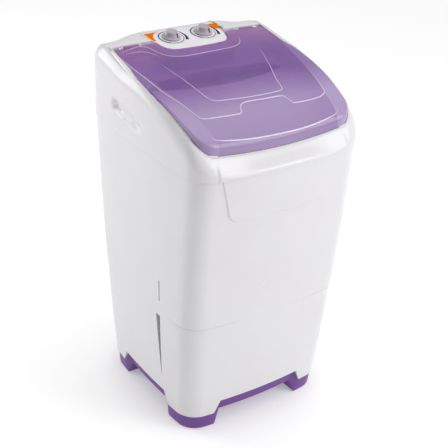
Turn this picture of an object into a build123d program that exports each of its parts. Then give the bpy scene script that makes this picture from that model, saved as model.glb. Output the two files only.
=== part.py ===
from build123d import *
import math
import os
from functools import lru_cache

os.makedirs("parts", exist_ok=True)

# Semi-automatic washing machine. X is right, the front faces -Y, Z is up, and the floor is z = 0.
# The origin lies on the floor under the middle of the overall box.

# Reach of the blocks that cut a form away, and how far two joined forms pass into each other
cut_low_z = 600.0
cut_high_z = 1100.0
cut_reach = 400.0
wide_margin = 40.0
joint_depth = 1.0

# Body plan and heights
seam_z = 748.0
waist_z = 336.0
cover_block_height = 240.0
floor_half_width = 214.3
floor_front = 210.6
floor_rear = 185.8
seam_half_width = 237.5
seam_front = 253.9
seam_rear = 253.9
width_swell = 9.0
front_swell = 2.1
rear_swell = -5.0
side_bow = 11.4
front_bow = 18.3
corner_radius = 57.0
lower_corner_radius = 61.0
wall = 3.0
seat_gap = 0.3

# Arches between the feet
arch_top_half = 125.0
arch_slant = 16.0
side_arch_half = 100.0
side_arch_slant = 18.0
body_centre_y = -14.0
foot_edge_z = 44.6
arch_edge_z = 83.0
band_height = 39.0
band_inset = 4.0
pad_stand = 1.5
pad_radius = 18.0
pad_depth = 4.0
foot_floor = 9.0
tray_floor = 4.0
tray_top_z = 100.0
post_size = 76.0
post_height = 30.0
post_x = 188.0
post_front_y = -190.0
post_rear_y = 164.0
foot_x = 171.0
foot_front_y = -168.0
foot_rear_y = 140.0

# Raised bib on the front
bib_top_z = 786.0
bib_bottom_z = 634.0
bib_top_half = 197.0
bib_shoulder_half = 157.0
bib_shoulder_z = 671.0
bib_bottom_half = 128.0
bib_rise = 2.5

# Ledge that carries the tub
ledge_width = 13.0
ledge_thickness = 3.0
flange_thickness = 3.0

# Channel for the stowed hose on the left wall
channel_y = -109.5
channel_width = 18.0
channel_slot = 4.0
channel_tip = 1.0
channel_bottom_z = 132.0
channel_mid_z = 320.0
channel_bridge_z = 365.0
channel_top_z = 425.0
channel_depth_x = 226.0

# Top cover: side height and crown of the top surface, and the lid's rise over it, from front to rear
cover_overhang = 2.5
shoulder_radius = 14.0
top_stations = [
    (-300, 716, -22, 22),
    (-262, 777, -18, 21),
    (-240, 805, -13, 20),
    (-212, 829, -8, 17),
    (-170, 850, -3, 12),
    (-107, 875, 1.5, 7),
    (-12, 898.5, 5, 3),
    (83, 915, 6, 1),
    (140, 926, 6, 0.2),
    (175, 932, 6, 0),
    (200, 932.5, 6, 0),
    (222, 927.5, 5.5, 0),
    (240, 917.5, 5, 0),
    (257, 898.5, 4, 0),
    (275, 868, 3, 0),
    (300, 815, 2, 0),
]
recess_wall = 3.0
deck_drop = 41.0
deck_thickness = 3.0
mouth_half_width = 196.0
mouth_front = -212.0
mouth_rear = 62.0
mouth_corner = 58.0
mouth_front_bow = 10.0
mouth_side_bow = 8.0
collar_wall = 3.0
collar_bottom_z = 736.0
grip_front_y = -20.0
grip_rear_y = 120.0
grip_low_z = 779.0
grip_high_z = 826.0
grip_fall = 22.0
grip_depth_x = 228.0

# Lid
lid_gap = 1.5
lid_rear_gap = 4.0
lid_rest = 4.0
trough_y = 152.0
trough_drop = 12.0
lid_front_half = 216.0
lid_mid_half = 237.5
lid_rear_half = 225.5
lid_mid_y = -12.4
lid_front_y = -234.0
lid_front_bow = 6.0
lid_rear_y = 168.6
lid_front_corner = 42.0
lid_rear_corner = 14.0
lid_thickness = 3.0
lid_sink = 3.5
plateau_rise = 2.5
knuckle_notch = 8.0
hinge_x = 172.0
knuckle_length = 44.0
knuckle_radius = 4.5
pin_radius = 2.5
pin_length = 68.0
ear_thickness = 5.0
ear_gap = 0.5
knuckle_stand = 4.5

# Console and control panel
console_half = 114.0
console_front_y = 76.0
console_rear_y = 216.0
console_front_half = 96.0
console_front_bow = 7.0
console_corner = 34.0
panel_overlap = 1.0
panel_thickness = 6.0
panel_slope = 8.5
panel_mid_y = 150.0
panel_mid_z = 930.5
panel_edge = 2.5
slab_thickness = 3.0
panel_skin = 1.5
cutout_gap = 2.5
knob_x = 48.0
knob_up = 27.0
knob_skirt_radius = 26.0
knob_skirt_height = 5.0
knob_neck_radius = 18.0
knob_grip_radius = 15.0
knob_height = 23.0
knob_gap = 0.8
knob_bore_depth = 14.0
spindle_radius = 3.0
spindle_hole_radius = 4.0
timer_radius = 27.0
timer_depth = 38.0
selector_size = 36.0
selector_depth = 30.0

# Tub
tub_wall = 3.0
tub_clearance = 4.0
tub_draft = 20.0
tub_floor_z = 294.0
tub_floor_thickness = 4.0
impeller_y = -77.0
impeller_radius = 112.0
impeller_gap = 3.0
impeller_plate = 5.0
impeller_hub_height = 40.0
impeller_hub_radius = 30.0
vane_count = 6
vane_height = 17.0
vane_width = 9.0

# Drive
running_gap = 0.05
shaft_radius = 6.0
shaft_bottom_z = 196.0
bush_radius = 10.0
bush_length = 16.0
housing_flange_radius = 46.0
housing_flange_thickness = 6.0
housing_radius = 20.0
housing_bottom_z = 238.0
housing_bolt_circle = 36.0
seal_radius = 14.0
seal_height = 7.0
belt_z = 216.0
belt_width = 8.0
belt_thickness = 6.0
belt_gap = 0.3
drive_pulley_radius = 95.0
motor_pulley_radius = 22.0
pulley_flange = 3.5
motor_y = 78.0
motor_radius = 58.0
stator_height = 56.0
bell_height = 11.0
rotor_radius = 30.0
air_gap = 0.6
motor_shaft_radius = 5.0
bracket_z = 98.0
bracket_thickness = 2.5
bracket_length = 300.0
bracket_width = 130.0
grommet_radius = 10.0
grommet_height = 5.0
stud_radius = 9.0
stud_inset_x = 20.0
stud_inset_y = 16.0
bracket_screw = 28.0
fan_radius = 46.0
fan_blades = 8

# Drain and filter
drain_x = -118.0
drain_y = 10.0
drain_pipe_radius = 15.0
drain_pipe_wall = 2.5
drain_nozzle_length = 24.0
drain_exit_z = 140.0
drain_bend = 45.0
spigot_reach = 26.0
spigot_radius = 13.5
spigot_length = 20.0
filter_width = 116.0
filter_depth = 13.0
filter_bottom_z = 560.0
filter_height = 132.0
filter_y = 38.0
rail_size = 7.0

nozzle_bore = 9.5
nose_radius = 17.0
screw_big = 3.0
spindle_sink = 10.0
lug_thickness = 2.0
lug_reach = 33.0
seal_reach = 15.0
gasket_height = 4.0
plateau_rear_half = 222.0
plateau_rear_y = 150.0
plateau_mid_half = 216.0
plateau_front_half = 182.0
plateau_front_y = -160.0
notch_half = 75.0
notch_depth = 15.0
board_lap = 7.0
board_thickness = 4.0
board_rear_y = -14.0
board_rear_side_y = 22.0
board_corner = 12.0
rib_first_y = -170.0
rib_pitch = 15.0
rib_count = 8
rib_length = 210.0
rib_width = 5.0
rib_rise = 1.2
capacitor_x = 178.0
capacitor_y = 40.0

# Cord inlet
gland_radius = 8.0
gland_bore = 3.5

# Fasteners
screw_radius = 2.0
thread_gap = 0.02
screw_clearance = 0.3
head_ratio = 2.2
head_height = 2.6
base_screw_grip = 20.0
cover_boss_radius = 6.0
cover_boss_side = 23.0
cover_boss_inset = 22.5
cover_screw_grip = 12.0


# Values that follow from the ones above
panel_plane = Plane(
    origin=(0, panel_mid_y, panel_mid_z),
    x_dir=(1, 0, 0),
    z_dir=(0, -math.sin(math.radians(panel_slope)), math.cos(math.radians(panel_slope))),
)
knob_places = [(-knob_x, knob_up), (knob_x, knob_up)]
lug_places = [(x, up + turn * lug_reach) for x, up in knob_places for turn in (-1, 1)]
ear_spacing = knuckle_length + ear_thickness + 2 * ear_gap
hinge_y = lid_rear_y - knuckle_radius
recess_rear_y = lid_rear_y + lid_rear_gap
skirt_rear_y = lid_rear_y - lid_rear_corner - 2 * lid_thickness
stator_z = bracket_z + bracket_thickness + bell_height


def along_wall(z, at_floor, at_seam, swell):
    """Value at height z that runs from the floor to the seam and swells halfway by swell."""
    t = min(z, seam_z) / seam_z
    return at_floor + (at_seam - at_floor) * t + 4 * swell * t * (1 - t)


def body_outline(z, inset, corner):
    """Plan of the body at height z: four bowed sides with round corners, drawn in by inset."""
    side = along_wall(z, floor_half_width, seam_half_width, width_swell) - inset
    fore = inset - along_wall(z, floor_front, seam_front, front_swell)
    aft = along_wall(z, floor_rear, seam_rear, rear_swell) - inset
    middle = (fore + aft) / 2
    with BuildSketch(Plane.XY.offset(z)) as outline:
        with BuildLine():
            ThreePointArc((-side, fore), (0, fore - front_bow), (side, fore))
            ThreePointArc((side, fore), (side + side_bow, middle), (side, aft))
            ThreePointArc((side, aft), (0, aft + front_bow), (-side, aft))
            ThreePointArc((-side, aft), (-side - side_bow, middle), (-side, fore))
        make_face()
        fillet(outline.vertices(), corner - inset)
    return outline.sketch


@lru_cache
def body_form(bottom_z, top_z, inset, corner):
    """Solid that follows the body's walls between two heights."""
    steps = 3
    levels = [bottom_z + (top_z - bottom_z) * step / steps for step in range(steps + 1)]
    with BuildPart() as form:
        loft(sections=[body_outline(level, inset, corner) for level in levels])
    return form.part


@lru_cache
def under_top(drop, lid_share=0):
    """Block below the crowned top surface, lowered by drop; a lid_share of 1 gives the lid's surface."""
    half = corner_radius + seam_half_width
    sections = []
    for y, side_z, crown, rise in top_stations:
        edge_z = side_z + lid_share * rise - drop
        with BuildSketch(Plane.XZ.offset(-y)) as section:
            with BuildLine():
                Polyline((-half, edge_z), (-half, 0), (half, 0), (half, edge_z))
                Spline(
                    (half, edge_z),
                    (half / 2, edge_z + 0.75 * crown),
                    (0, edge_z + crown),
                    (-half / 2, edge_z + 0.75 * crown),
                    (-half, edge_z),
                )
            make_face()
        sections.append(section.sketch)
    with BuildPart() as block:
        loft(sections=sections)
    return block.part


def top_height(y):
    """Height of the top surface at the sides, straight between its stations."""
    for (y0, z0, *_), (y1, z1, *_) in zip(top_stations, top_stations[1:]):
        if y0 <= y <= y1:
            return z0 + (z1 - z0) * (y - y0) / (y1 - y0)
    return top_stations[-1][1]


hinge_z = top_height(hinge_y) + knuckle_stand - knuckle_radius


def under_lid(drop):
    """Block below the lid's top surface, lowered by drop."""
    return under_top(drop, 1)


@lru_cache
def cover_form(inset):
    """Outer form of the cover: straight walls under the crowned top, with soft side shoulders."""
    with BuildPart() as form:
        extrude(body_outline(seam_z, inset, corner_radius), amount=cover_block_height)
        add(under_top(inset + cover_overhang), mode=Mode.INTERSECT)
        top = form.faces().sort_by(Axis.Z)[-1]
        soft = [edge for edge in top.edges() if edge.center().Y > mouth_front / 2]
        fillet(soft, shoulder_radius - inset - cover_overhang)
    return form.part


def prism(sketch, bottom_z=cut_low_z, top_z=cut_high_z):
    """Upright prism of a flat sketch drawn at z = 0; by default it passes the whole cover."""
    with BuildPart() as block:
        extrude(sketch.moved(Location((0, 0, bottom_z))), amount=top_z - bottom_z)
    return block.part


def lid_outline(grow, rear_grow=None):
    """Plan of the lid without its console cut-out; the rear edge may grow by its own amount."""
    front_half = lid_front_half + grow
    rear_half = lid_rear_half + grow
    fore = lid_front_y - grow
    rear_gap = grow if rear_grow is None else rear_grow
    aft = lid_rear_y + rear_gap
    with BuildSketch() as plan:
        with BuildLine():
            ThreePointArc((-front_half, fore), (0, fore - lid_front_bow), (front_half, fore))
            ThreePointArc((front_half, fore), (lid_mid_half + grow, lid_mid_y), (rear_half, aft))
            Line((rear_half, aft), (-rear_half, aft))
            ThreePointArc((-rear_half, aft), (-lid_mid_half - grow, lid_mid_y), (-front_half, fore))
        make_face()
        fillet(plan.vertices().group_by(Axis.Y)[0], lid_front_corner + grow)
        fillet(plan.vertices().group_by(Axis.Y)[-1], lid_rear_corner + 3 * grow - 2 * rear_gap)
    return plan.sketch


def console_outline(grow):
    """Plan of the console: a blunt round front that widens to the rear."""
    fore = console_front_y - grow
    aft = console_rear_y + grow
    with BuildSketch() as plan:
        with BuildLine():
            ThreePointArc(
                (-console_front_half - grow, fore + console_front_bow),
                (0, fore),
                (console_front_half + grow, fore + console_front_bow),
            )
            Line((console_front_half + grow, fore + console_front_bow), (console_half + grow, aft))
            Line((console_half + grow, aft), (-console_half - grow, aft))
            Line((-console_half - grow, aft), (-console_front_half - grow, fore + console_front_bow))
        make_face()
        fillet(plan.vertices().filter_by(lambda v: v.Y < panel_mid_y), console_corner + grow)
    return plan.sketch


def mouth_outline(grow):
    """Plan of the tub's mouth in the deck."""
    side = mouth_half_width + grow
    fore = mouth_front - grow
    aft = mouth_rear + grow
    middle = (fore + aft) / 2
    with BuildSketch() as plan:
        with BuildLine():
            ThreePointArc((-side, fore), (0, fore - mouth_front_bow), (side, fore))
            ThreePointArc((side, fore), (side + mouth_side_bow, middle), (side, aft))
            Line((side, aft), (-side, aft))
            ThreePointArc((-side, aft), (-side - mouth_side_bow, middle), (-side, fore))
        make_face()
        fillet(plan.vertices(), mouth_corner + grow)
    return plan.sketch


def bib_prism():
    """Prism of the bib's front view, from the middle of the body outwards to the front."""
    with BuildSketch(Plane.XZ) as face:
        with BuildLine():
            Polyline(
                (-bib_top_half, bib_top_z),
                (-bib_shoulder_half, bib_shoulder_z),
                (-bib_bottom_half, bib_bottom_z),
                (bib_bottom_half, bib_bottom_z),
                (bib_shoulder_half, bib_shoulder_z),
                (bib_top_half, bib_top_z),
                close=True,
            )
        make_face()
        fillet(face.vertices().filter_by(lambda v: v.Z < bib_top_z - 1), 14)
    with BuildPart() as block:
        extrude(face.sketch, amount=seam_front + corner_radius)
    return block.part


def arch_cut(bottom_z, top_z, top_half, slant, across):
    """Tunnel under the body between two feet, run along X when across is true, else along Y."""
    plane = Plane.YZ.offset(-cut_reach) if across else Plane.XZ.offset(-cut_reach)
    middle = body_centre_y if across else 0
    low = bottom_z - wide_margin
    low_half = top_half + slant * (top_z - low) / (top_z - bottom_z)
    with BuildSketch(plane) as section:
        with BuildLine():
            Polyline(
                (middle - top_half, top_z),
                (middle - low_half, low),
                (middle + low_half, low),
                (middle + top_half, top_z),
                close=True,
            )
        make_face()
    with BuildPart() as tunnel:
        extrude(section.sketch, amount=2 * cut_reach)
    return tunnel.part


def post_places():
    """Plan middles of the four corner posts, before the walls trim them."""
    return [(side * post_x, y) for side in (-1, 1) for y in (post_front_y, post_rear_y)]


def foot_places():
    """Plan places of the foot pads and of the screws above them."""
    return [(side * foot_x, y) for side in (-1, 1) for y in (foot_front_y, foot_rear_y)]


def corner_posts(bottom_z, height, inset):
    """Four square posts in the corners, trimmed to the walls."""
    with BuildSketch(Plane.XY.offset(bottom_z)) as plan:
        with Locations(*post_places()):
            Rectangle(post_size, post_size)
        add(body_outline(bottom_z, inset, lower_corner_radius), mode=Mode.INTERSECT)
    with BuildPart() as posts:
        extrude(plan.sketch, amount=height)
    return posts.part


def channel_form(grow, deep):
    """Wedge channel and the slot over its bridge, on the left wall."""
    back = channel_y - grow
    with BuildSketch(Plane.YZ.offset(-deep)) as face:
        with BuildLine():
            Polyline(
                (back, channel_bottom_z - grow),
                (back, channel_mid_z + grow),
                (channel_y + channel_width + grow, channel_mid_z + grow),
                (channel_y + grow + channel_tip, channel_bottom_z - grow),
                close=True,
            )
        make_face()
        with BuildLine():
            Polyline(
                (back, channel_bridge_z - grow),
                (back, channel_top_z + grow),
                (channel_y + channel_slot + grow, channel_top_z + grow),
                (channel_y + channel_slot + grow, channel_bridge_z - grow),
                close=True,
            )
        make_face()
    with BuildPart() as form:
        extrude(face.sketch, amount=-wide_margin)
    return form.part


def make_cabinet():
    """White outer shell from the feet to the seam, with the tub's ledge and the hose channel."""
    ledge_z = seam_z - flange_thickness - ledge_thickness
    with BuildPart() as channel_box:
        add(channel_form(wall, channel_depth_x - wall))
        add(
            body_form(foot_edge_z, channel_top_z + wide_margin, joint_depth, lower_corner_radius),
            mode=Mode.INTERSECT,
        )
    with BuildPart() as bib:
        add(body_form(bib_bottom_z - wide_margin, seam_z, -bib_rise, corner_radius))
        add(bib_prism(), mode=Mode.INTERSECT)
    posts = corner_posts(tray_top_z, post_height, joint_depth)
    with BuildPart() as cabinet:
        add(body_form(foot_edge_z, waist_z, 0, lower_corner_radius))
        add(body_form(waist_z, seam_z, 0, corner_radius))
        add(bib.part)
        add(body_form(foot_edge_z, ledge_z, wall, lower_corner_radius), mode=Mode.SUBTRACT)
        extrude(
            body_outline(ledge_z, wall + ledge_width, lower_corner_radius),
            amount=ledge_thickness,
            mode=Mode.SUBTRACT,
        )
        extrude(
            body_outline(seam_z - flange_thickness, wall, lower_corner_radius),
            amount=flange_thickness,
            mode=Mode.SUBTRACT,
        )
        add(channel_box.part)
        add(channel_form(0, channel_depth_x), mode=Mode.SUBTRACT)
        add(posts)
        add(arch_cut(foot_edge_z, arch_edge_z, arch_top_half, arch_slant, False), mode=Mode.SUBTRACT)
        add(arch_cut(foot_edge_z, arch_edge_z, side_arch_half, side_arch_slant, True), mode=Mode.SUBTRACT)
        add(
            holes(
                Plane.XY, foot_places(), screw_radius + thread_gap, 0,
                tray_top_z + base_screw_grip + joint_depth,
            ),
            mode=Mode.SUBTRACT,
        )
        add(
            holes(Plane.XY, boss_places(), screw_radius + screw_clearance, foot_edge_z, seam_z),
            mode=Mode.SUBTRACT,
        )
        with Locations((drain_x, 0, drain_exit_z)):
            Cylinder(
                drain_pipe_radius + seat_gap, cut_reach, rotation=(-90, 0, 0),
                align=(Align.CENTER, Align.CENTER, Align.MIN), mode=Mode.SUBTRACT,
            )
        with Locations((-drain_x, 0, drain_exit_z)):
            Cylinder(
                gland_radius, cut_reach, rotation=(-90, 0, 0),
                align=(Align.CENTER, Align.CENTER, Align.MIN), mode=Mode.SUBTRACT,
            )
    return cabinet.part


def make_base_tray():
    """Purple base: a band under the cabinet's lower edge, four hollow feet and a pan floor."""
    drop = arch_edge_z - foot_edge_z
    band_bottom_z = arch_edge_z - band_height
    with BuildPart() as base_tray:
        add(body_form(pad_stand, tray_top_z, band_inset, lower_corner_radius))
        add(
            body_form(band_bottom_z + tray_floor, tray_top_z, band_inset + wall, lower_corner_radius),
            mode=Mode.SUBTRACT,
        )
        feet = corner_posts(foot_floor, band_bottom_z, band_inset + wall)
        add(
            arch_cut(pad_stand, band_bottom_z, arch_top_half - arch_slant / 2, arch_slant, False),
            mode=Mode.SUBTRACT,
        )
        add(
            arch_cut(pad_stand, band_bottom_z, side_arch_half - side_arch_slant / 2, side_arch_slant, True),
            mode=Mode.SUBTRACT,
        )
        add(feet, mode=Mode.SUBTRACT)
        add(corner_posts(tray_top_z - drop, drop, band_inset + joint_depth))
        with Locations(*[(x, y, pad_stand) for x, y in foot_places()]):
            Cylinder(
                pad_radius + seat_gap, pad_depth,
                align=(Align.CENTER, Align.CENTER, Align.MIN), mode=Mode.SUBTRACT,
            )
        with Locations(*[(x, y, tray_top_z) for x, y in foot_places()]):
            Cylinder(screw_radius + screw_clearance, 2 * (drop + tray_floor + 2), mode=Mode.SUBTRACT)
        with Locations(*[(x, y, band_bottom_z + tray_floor) for x, y in stud_places()]):
            Cylinder(
                stud_radius, bracket_z - grommet_height - band_bottom_z - tray_floor,
                align=(Align.CENTER, Align.CENTER, Align.MIN),
            )
        add(
            holes(
                Plane.XY, stud_places(), screw_radius + thread_gap,
                bracket_z - bracket_screw - joint_depth, bracket_z,
            ),
            mode=Mode.SUBTRACT,
        )
    return base_tray.part


def stud_places():
    """Plan places of the studs under the motor bracket."""
    reach_x = bracket_length / 2 - stud_inset_x
    reach_y = bracket_width / 2 - stud_inset_y
    return [(sx * reach_x, motor_y + sy * reach_y) for sx in (-1, 1) for sy in (-1, 1)]


def round_bar(radius, bottom_z, top_z, x=0.0, y=0.0, bore=0.0):
    """Upright round bar or ring between two heights."""
    with BuildPart() as bar:
        with BuildSketch(Plane.XY.offset(bottom_z)):
            with Locations((x, y)):
                Circle(radius)
                if bore:
                    Circle(bore, mode=Mode.SUBTRACT)
        extrude(amount=top_z - bottom_z)
    return bar.part


def screw_set(plane, places, length, up=True, radius=screw_radius):
    """Equal pan-head screws whose heads lie on the plane; the threads point up or down from it."""
    direction = 1 if up else -1
    with BuildPart() as screws:
        with BuildSketch(plane):
            with Locations(*places):
                Circle(radius)
        extrude(amount=direction * length)
        with BuildSketch(plane):
            with Locations(*places):
                Circle(head_ratio * radius)
        extrude(amount=-direction * head_height)
    return screws.part


def holes(plane, places, radius, low, high):
    """Straight drills through the places of a plane, from low to high along its normal."""
    with BuildPart() as drills:
        with BuildSketch(plane.offset(low)):
            with Locations(*places):
                Circle(radius)
        extrude(amount=high - low)
    return drills.part


def panel_slab(low, high):
    """Wide slab between two depths measured from the panel's top face."""
    with BuildPart() as slab:
        with BuildSketch(panel_plane.offset(low)):
            Rectangle(2 * cut_reach, 2 * cut_reach)
        extrude(amount=high - low)
    return slab.part


def behind(y):
    """Wide block of everything behind y."""
    with BuildPart() as block:
        with Locations((0, y, 0)):
            Box(2 * cut_reach, cut_reach, cut_high_z, align=(Align.CENTER, Align.MIN, Align.MIN))
    return block.part


def make_foot_pads():
    """Four rubber pads pressed into the feet."""
    with BuildPart() as foot_pads:
        with BuildSketch():
            with Locations(*foot_places()):
                Circle(pad_radius)
        extrude(amount=pad_stand + pad_depth)
        chamfer(foot_pads.edges().group_by(Axis.Z)[0], 0.8)
    return foot_pads.part


def boss_places():
    """Plan places of the four screws that hold the cover."""
    reach_x = seam_half_width - cover_boss_side
    return [
        (side * reach_x, y)
        for side in (-1, 1)
        for y in (cover_boss_inset - seam_front, seam_rear - cover_boss_inset)
    ]


def tub_form(grow, bottom_z, top_z):
    """Drafted vessel form whose top matches the mouth; grow moves its walls out."""
    depth = seam_z - tub_floor_z
    sections = []
    for z in (bottom_z, top_z):
        inward = tub_draft * (seam_z - z) / depth
        plan = mouth_outline(collar_wall + tub_clearance + grow - inward)
        sections.append(plan.moved(Location((0, 0, z))))
    with BuildPart() as form:
        loft(sections=sections)
    return form.part


def filter_envelope(grow):
    """Space of the lint filter, open upwards along its slide."""
    with BuildPart() as space:
        with Locations((0, filter_y, filter_bottom_z)):
            Box(
                filter_width + 2 * grow, filter_depth + 2 * grow, 2 * filter_height,
                align=(Align.CENTER, Align.CENTER, Align.MIN),
            )
    return space.part


def make_tub():
    """White tub with a flange on the cabinet's ledge, a shaft hole, a drain nozzle and filter rails."""
    under_floor = tub_floor_z - tub_floor_thickness
    flange_z = seam_z - flange_thickness
    with BuildPart() as rails:
        with Locations(*[(side * filter_width / 2, filter_y - filter_depth / 2 - rail_size / 2,
                          filter_bottom_z - rail_size) for side in (-1, 1)]):
            Box(2 * rail_size, 3 * mouth_corner, filter_height,
                align=(Align.CENTER, Align.MIN, Align.MIN))
        add(tub_form(tub_wall / 2, under_floor, seam_z), mode=Mode.INTERSECT)
        add(filter_envelope(seat_gap), mode=Mode.SUBTRACT)
    with BuildPart() as tub:
        add(tub_form(tub_wall, under_floor, seam_z))
        extrude(body_outline(flange_z, wall + 1, lower_corner_radius), amount=flange_thickness)
        add(tub_form(0, tub_floor_z, seam_z), mode=Mode.SUBTRACT)
        add(rails.part)
        add(round_bar(drain_pipe_radius - drain_pipe_wall - running_gap,
                      under_floor - drain_nozzle_length, under_floor, drain_x, drain_y))
        add(holes(Plane.XY, [(drain_x, drain_y)], nozzle_bore, 0, tub_floor_z + 1), mode=Mode.SUBTRACT)
        add(holes(Plane.XY, [(0, impeller_y)], nose_radius + running_gap, 0, tub_floor_z + 1),
            mode=Mode.SUBTRACT)
        add(holes(Plane.XY, boss_places(), screw_radius + screw_clearance, flange_z - 1, seam_z + 1),
            mode=Mode.SUBTRACT)
        add(holes(Plane.XY, housing_places(), screw_radius + thread_gap, 0, tub_floor_z - 1),
            mode=Mode.SUBTRACT)
    return tub.part


def housing_places():
    """Plan places of the bolts round the bearing housing."""
    reach = housing_bolt_circle / math.sqrt(2)
    return [(sx * reach, impeller_y + sy * reach) for sx in (-1, 1) for sy in (-1, 1)]


def recess_form(grow, sink, rear_grow):
    """Space under the lid: a shallow step at its edge, a trough at the hinges and the deep well."""
    with BuildPart() as form:
        add(prism(lid_outline(lid_gap + grow, rear_grow)))
        add(under_top(lid_sink + seat_gap + sink), mode=Mode.SUBTRACT)
    with BuildPart() as trough:
        add(prism(lid_outline(lid_gap + grow, rear_grow)))
        add(behind(trough_y - grow), mode=Mode.INTERSECT)
        add(under_top(trough_drop + sink), mode=Mode.SUBTRACT)
    with BuildPart() as well:
        add(prism(lid_outline(grow - lid_rest)))
        add(under_top(deck_drop + sink), mode=Mode.SUBTRACT)
        add(form.part)
        add(trough.part)
        add(prism(console_outline(-grow)), mode=Mode.SUBTRACT)
    return well.part


def grip_form(grow, side):
    """Finger pocket in one side wall; its floor falls to the front."""
    deep = side * (grip_depth_x - grow)
    with BuildSketch(Plane.YZ.offset(deep)) as face:
        with BuildLine():
            Polyline(
                (grip_front_y - grow, grip_low_z - grow),
                (grip_front_y - grow, grip_high_z - grip_fall / 2 + grow),
                (grip_rear_y + grow, grip_high_z + grip_fall / 2 + grow),
                (grip_rear_y + grow, grip_low_z + grip_fall - grow),
                close=True,
            )
        make_face()
        fillet(face.vertices(), 11 + grow)
    with BuildPart() as form:
        extrude(face.sketch, amount=side * 60)
    return form.part


def make_top_cover():
    """White cover: soft rim, recess for the lid, deck with the tub's mouth, and the console."""
    low = -panel_thickness - slab_thickness
    with BuildPart() as bib:
        add(cover_form(-cover_overhang - bib_rise))
        add(bib_prism(), mode=Mode.INTERSECT)
        add(prism(body_outline(0, -wide_margin, corner_radius), seam_z, cut_high_z), mode=Mode.INTERSECT)
    with BuildPart() as cavity:
        add(cover_form(wall - cover_overhang))
        add(recess_form(recess_wall, deck_thickness, lid_rear_gap + recess_wall), mode=Mode.SUBTRACT)
    with BuildPart() as collar:
        add(prism(mouth_outline(collar_wall), collar_bottom_z, cut_high_z))
        add(under_top(deck_drop + 1), mode=Mode.INTERSECT)
        add(
            prism(
                mouth_outline(seal_reach),
                seam_z + gasket_height,
                seam_z + gasket_height + collar_wall,
            )
        )
    with BuildPart() as bosses:
        with BuildSketch(Plane.XY.offset(seam_z)):
            with Locations(*boss_places()):
                Circle(cover_boss_radius)
        extrude(amount=cover_block_height)
        add(cover_form(joint_depth - cover_overhang), mode=Mode.INTERSECT)
        add(recess_form(joint_depth, joint_depth, lid_rear_gap + joint_depth), mode=Mode.SUBTRACT)
    with BuildPart() as slab:
        add(prism(console_outline(panel_overlap + seat_gap + recess_wall)))
        add(behind(recess_rear_y + joint_depth), mode=Mode.INTERSECT)
        add(prism(console_outline(0)))
        add(panel_slab(low, -panel_thickness), mode=Mode.INTERSECT)
    with BuildPart() as rear_wall:
        add(prism(console_outline(panel_overlap + seat_gap + recess_wall)))
        add(behind(recess_rear_y + joint_depth), mode=Mode.INTERSECT)
        add(panel_slab(low, wide_margin), mode=Mode.INTERSECT)
        add(under_top(joint_depth), mode=Mode.INTERSECT)
    with BuildPart() as seat:
        add(prism(console_outline(panel_overlap + seat_gap)))
        add(panel_slab(-panel_thickness, cut_reach), mode=Mode.INTERSECT)
    with BuildPart() as cover:
        add(cover_form(-cover_overhang))
        add(bib.part)
        add(recess_form(0, 0, lid_rear_gap), mode=Mode.SUBTRACT)
        add(cavity.part, mode=Mode.SUBTRACT)
        add(collar.part)
        add(bosses.part)
        add(rear_wall.part)
        add(slab.part)
        add(seat.part, mode=Mode.SUBTRACT)
        add(prism(mouth_outline(0)), mode=Mode.SUBTRACT)
        add(holes(panel_plane, knob_places, spindle_hole_radius, -wide_margin, 0), mode=Mode.SUBTRACT)
        add(
            holes(panel_plane, lug_places, screw_radius + screw_clearance, -wide_margin, 0),
            mode=Mode.SUBTRACT,
        )
        add(
            holes(Plane.XY, boss_places(), screw_radius + thread_gap, 0, seam_z + cover_screw_grip),
            mode=Mode.SUBTRACT,
        )
        for side in (-1, 1):
            add(grip_box(side))
            add(grip_form(0, side), mode=Mode.SUBTRACT)
            for offset in (-1, 1):
                add(hinge_ear(side * hinge_x + offset * ear_spacing / 2))
        add(hinge_bore(), mode=Mode.SUBTRACT)
    return cover.part


def grip_box(side):
    """Walls round one finger pocket, trimmed to the cover."""
    with BuildPart() as box:
        add(grip_form(wall, side))
        add(cover_form(1 - cover_overhang), mode=Mode.INTERSECT)
    return box.part


def hinge_ear(x):
    """Ear that reaches from the recess's rear wall round the hinge pin."""
    with BuildPart() as ear:
        with BuildSketch(Plane.YZ.offset(x - ear_thickness / 2)):
            with Locations((hinge_y, hinge_z)):
                Circle(knuckle_radius)
            with Locations((hinge_y, hinge_z - knuckle_radius)):
                Rectangle(
                    recess_rear_y + joint_depth - hinge_y, 2 * knuckle_radius,
                    align=(Align.MIN, Align.MIN),
                )
            with Locations((hinge_y - knuckle_radius, hinge_z - 2 * knuckle_radius)):
                Rectangle(
                    recess_rear_y + joint_depth - hinge_y + knuckle_radius, 2 * knuckle_radius,
                    align=(Align.MIN, Align.MIN),
                )
        extrude(amount=ear_thickness)
    return ear.part


def hinge_bore():
    """Running bore along the hinge axis at both hinges."""
    with BuildPart() as bore:
        for side in (-1, 1):
            with BuildSketch(Plane.YZ.offset(side * hinge_x - pin_length / 2)):
                with Locations((hinge_y, hinge_z)):
                    Circle(pin_radius + running_gap)
            extrude(amount=pin_length)
    return bore.part


def make_hinge_pins():
    """Two steel pins through the ears and the lid's knuckles."""
    with BuildPart() as hinge_pins:
        for side in (-1, 1):
            with BuildSketch(Plane.YZ.offset(side * hinge_x - pin_length / 2)):
                with Locations((hinge_y, hinge_z)):
                    Circle(pin_radius)
            extrude(amount=pin_length)
    return hinge_pins.part


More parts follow.
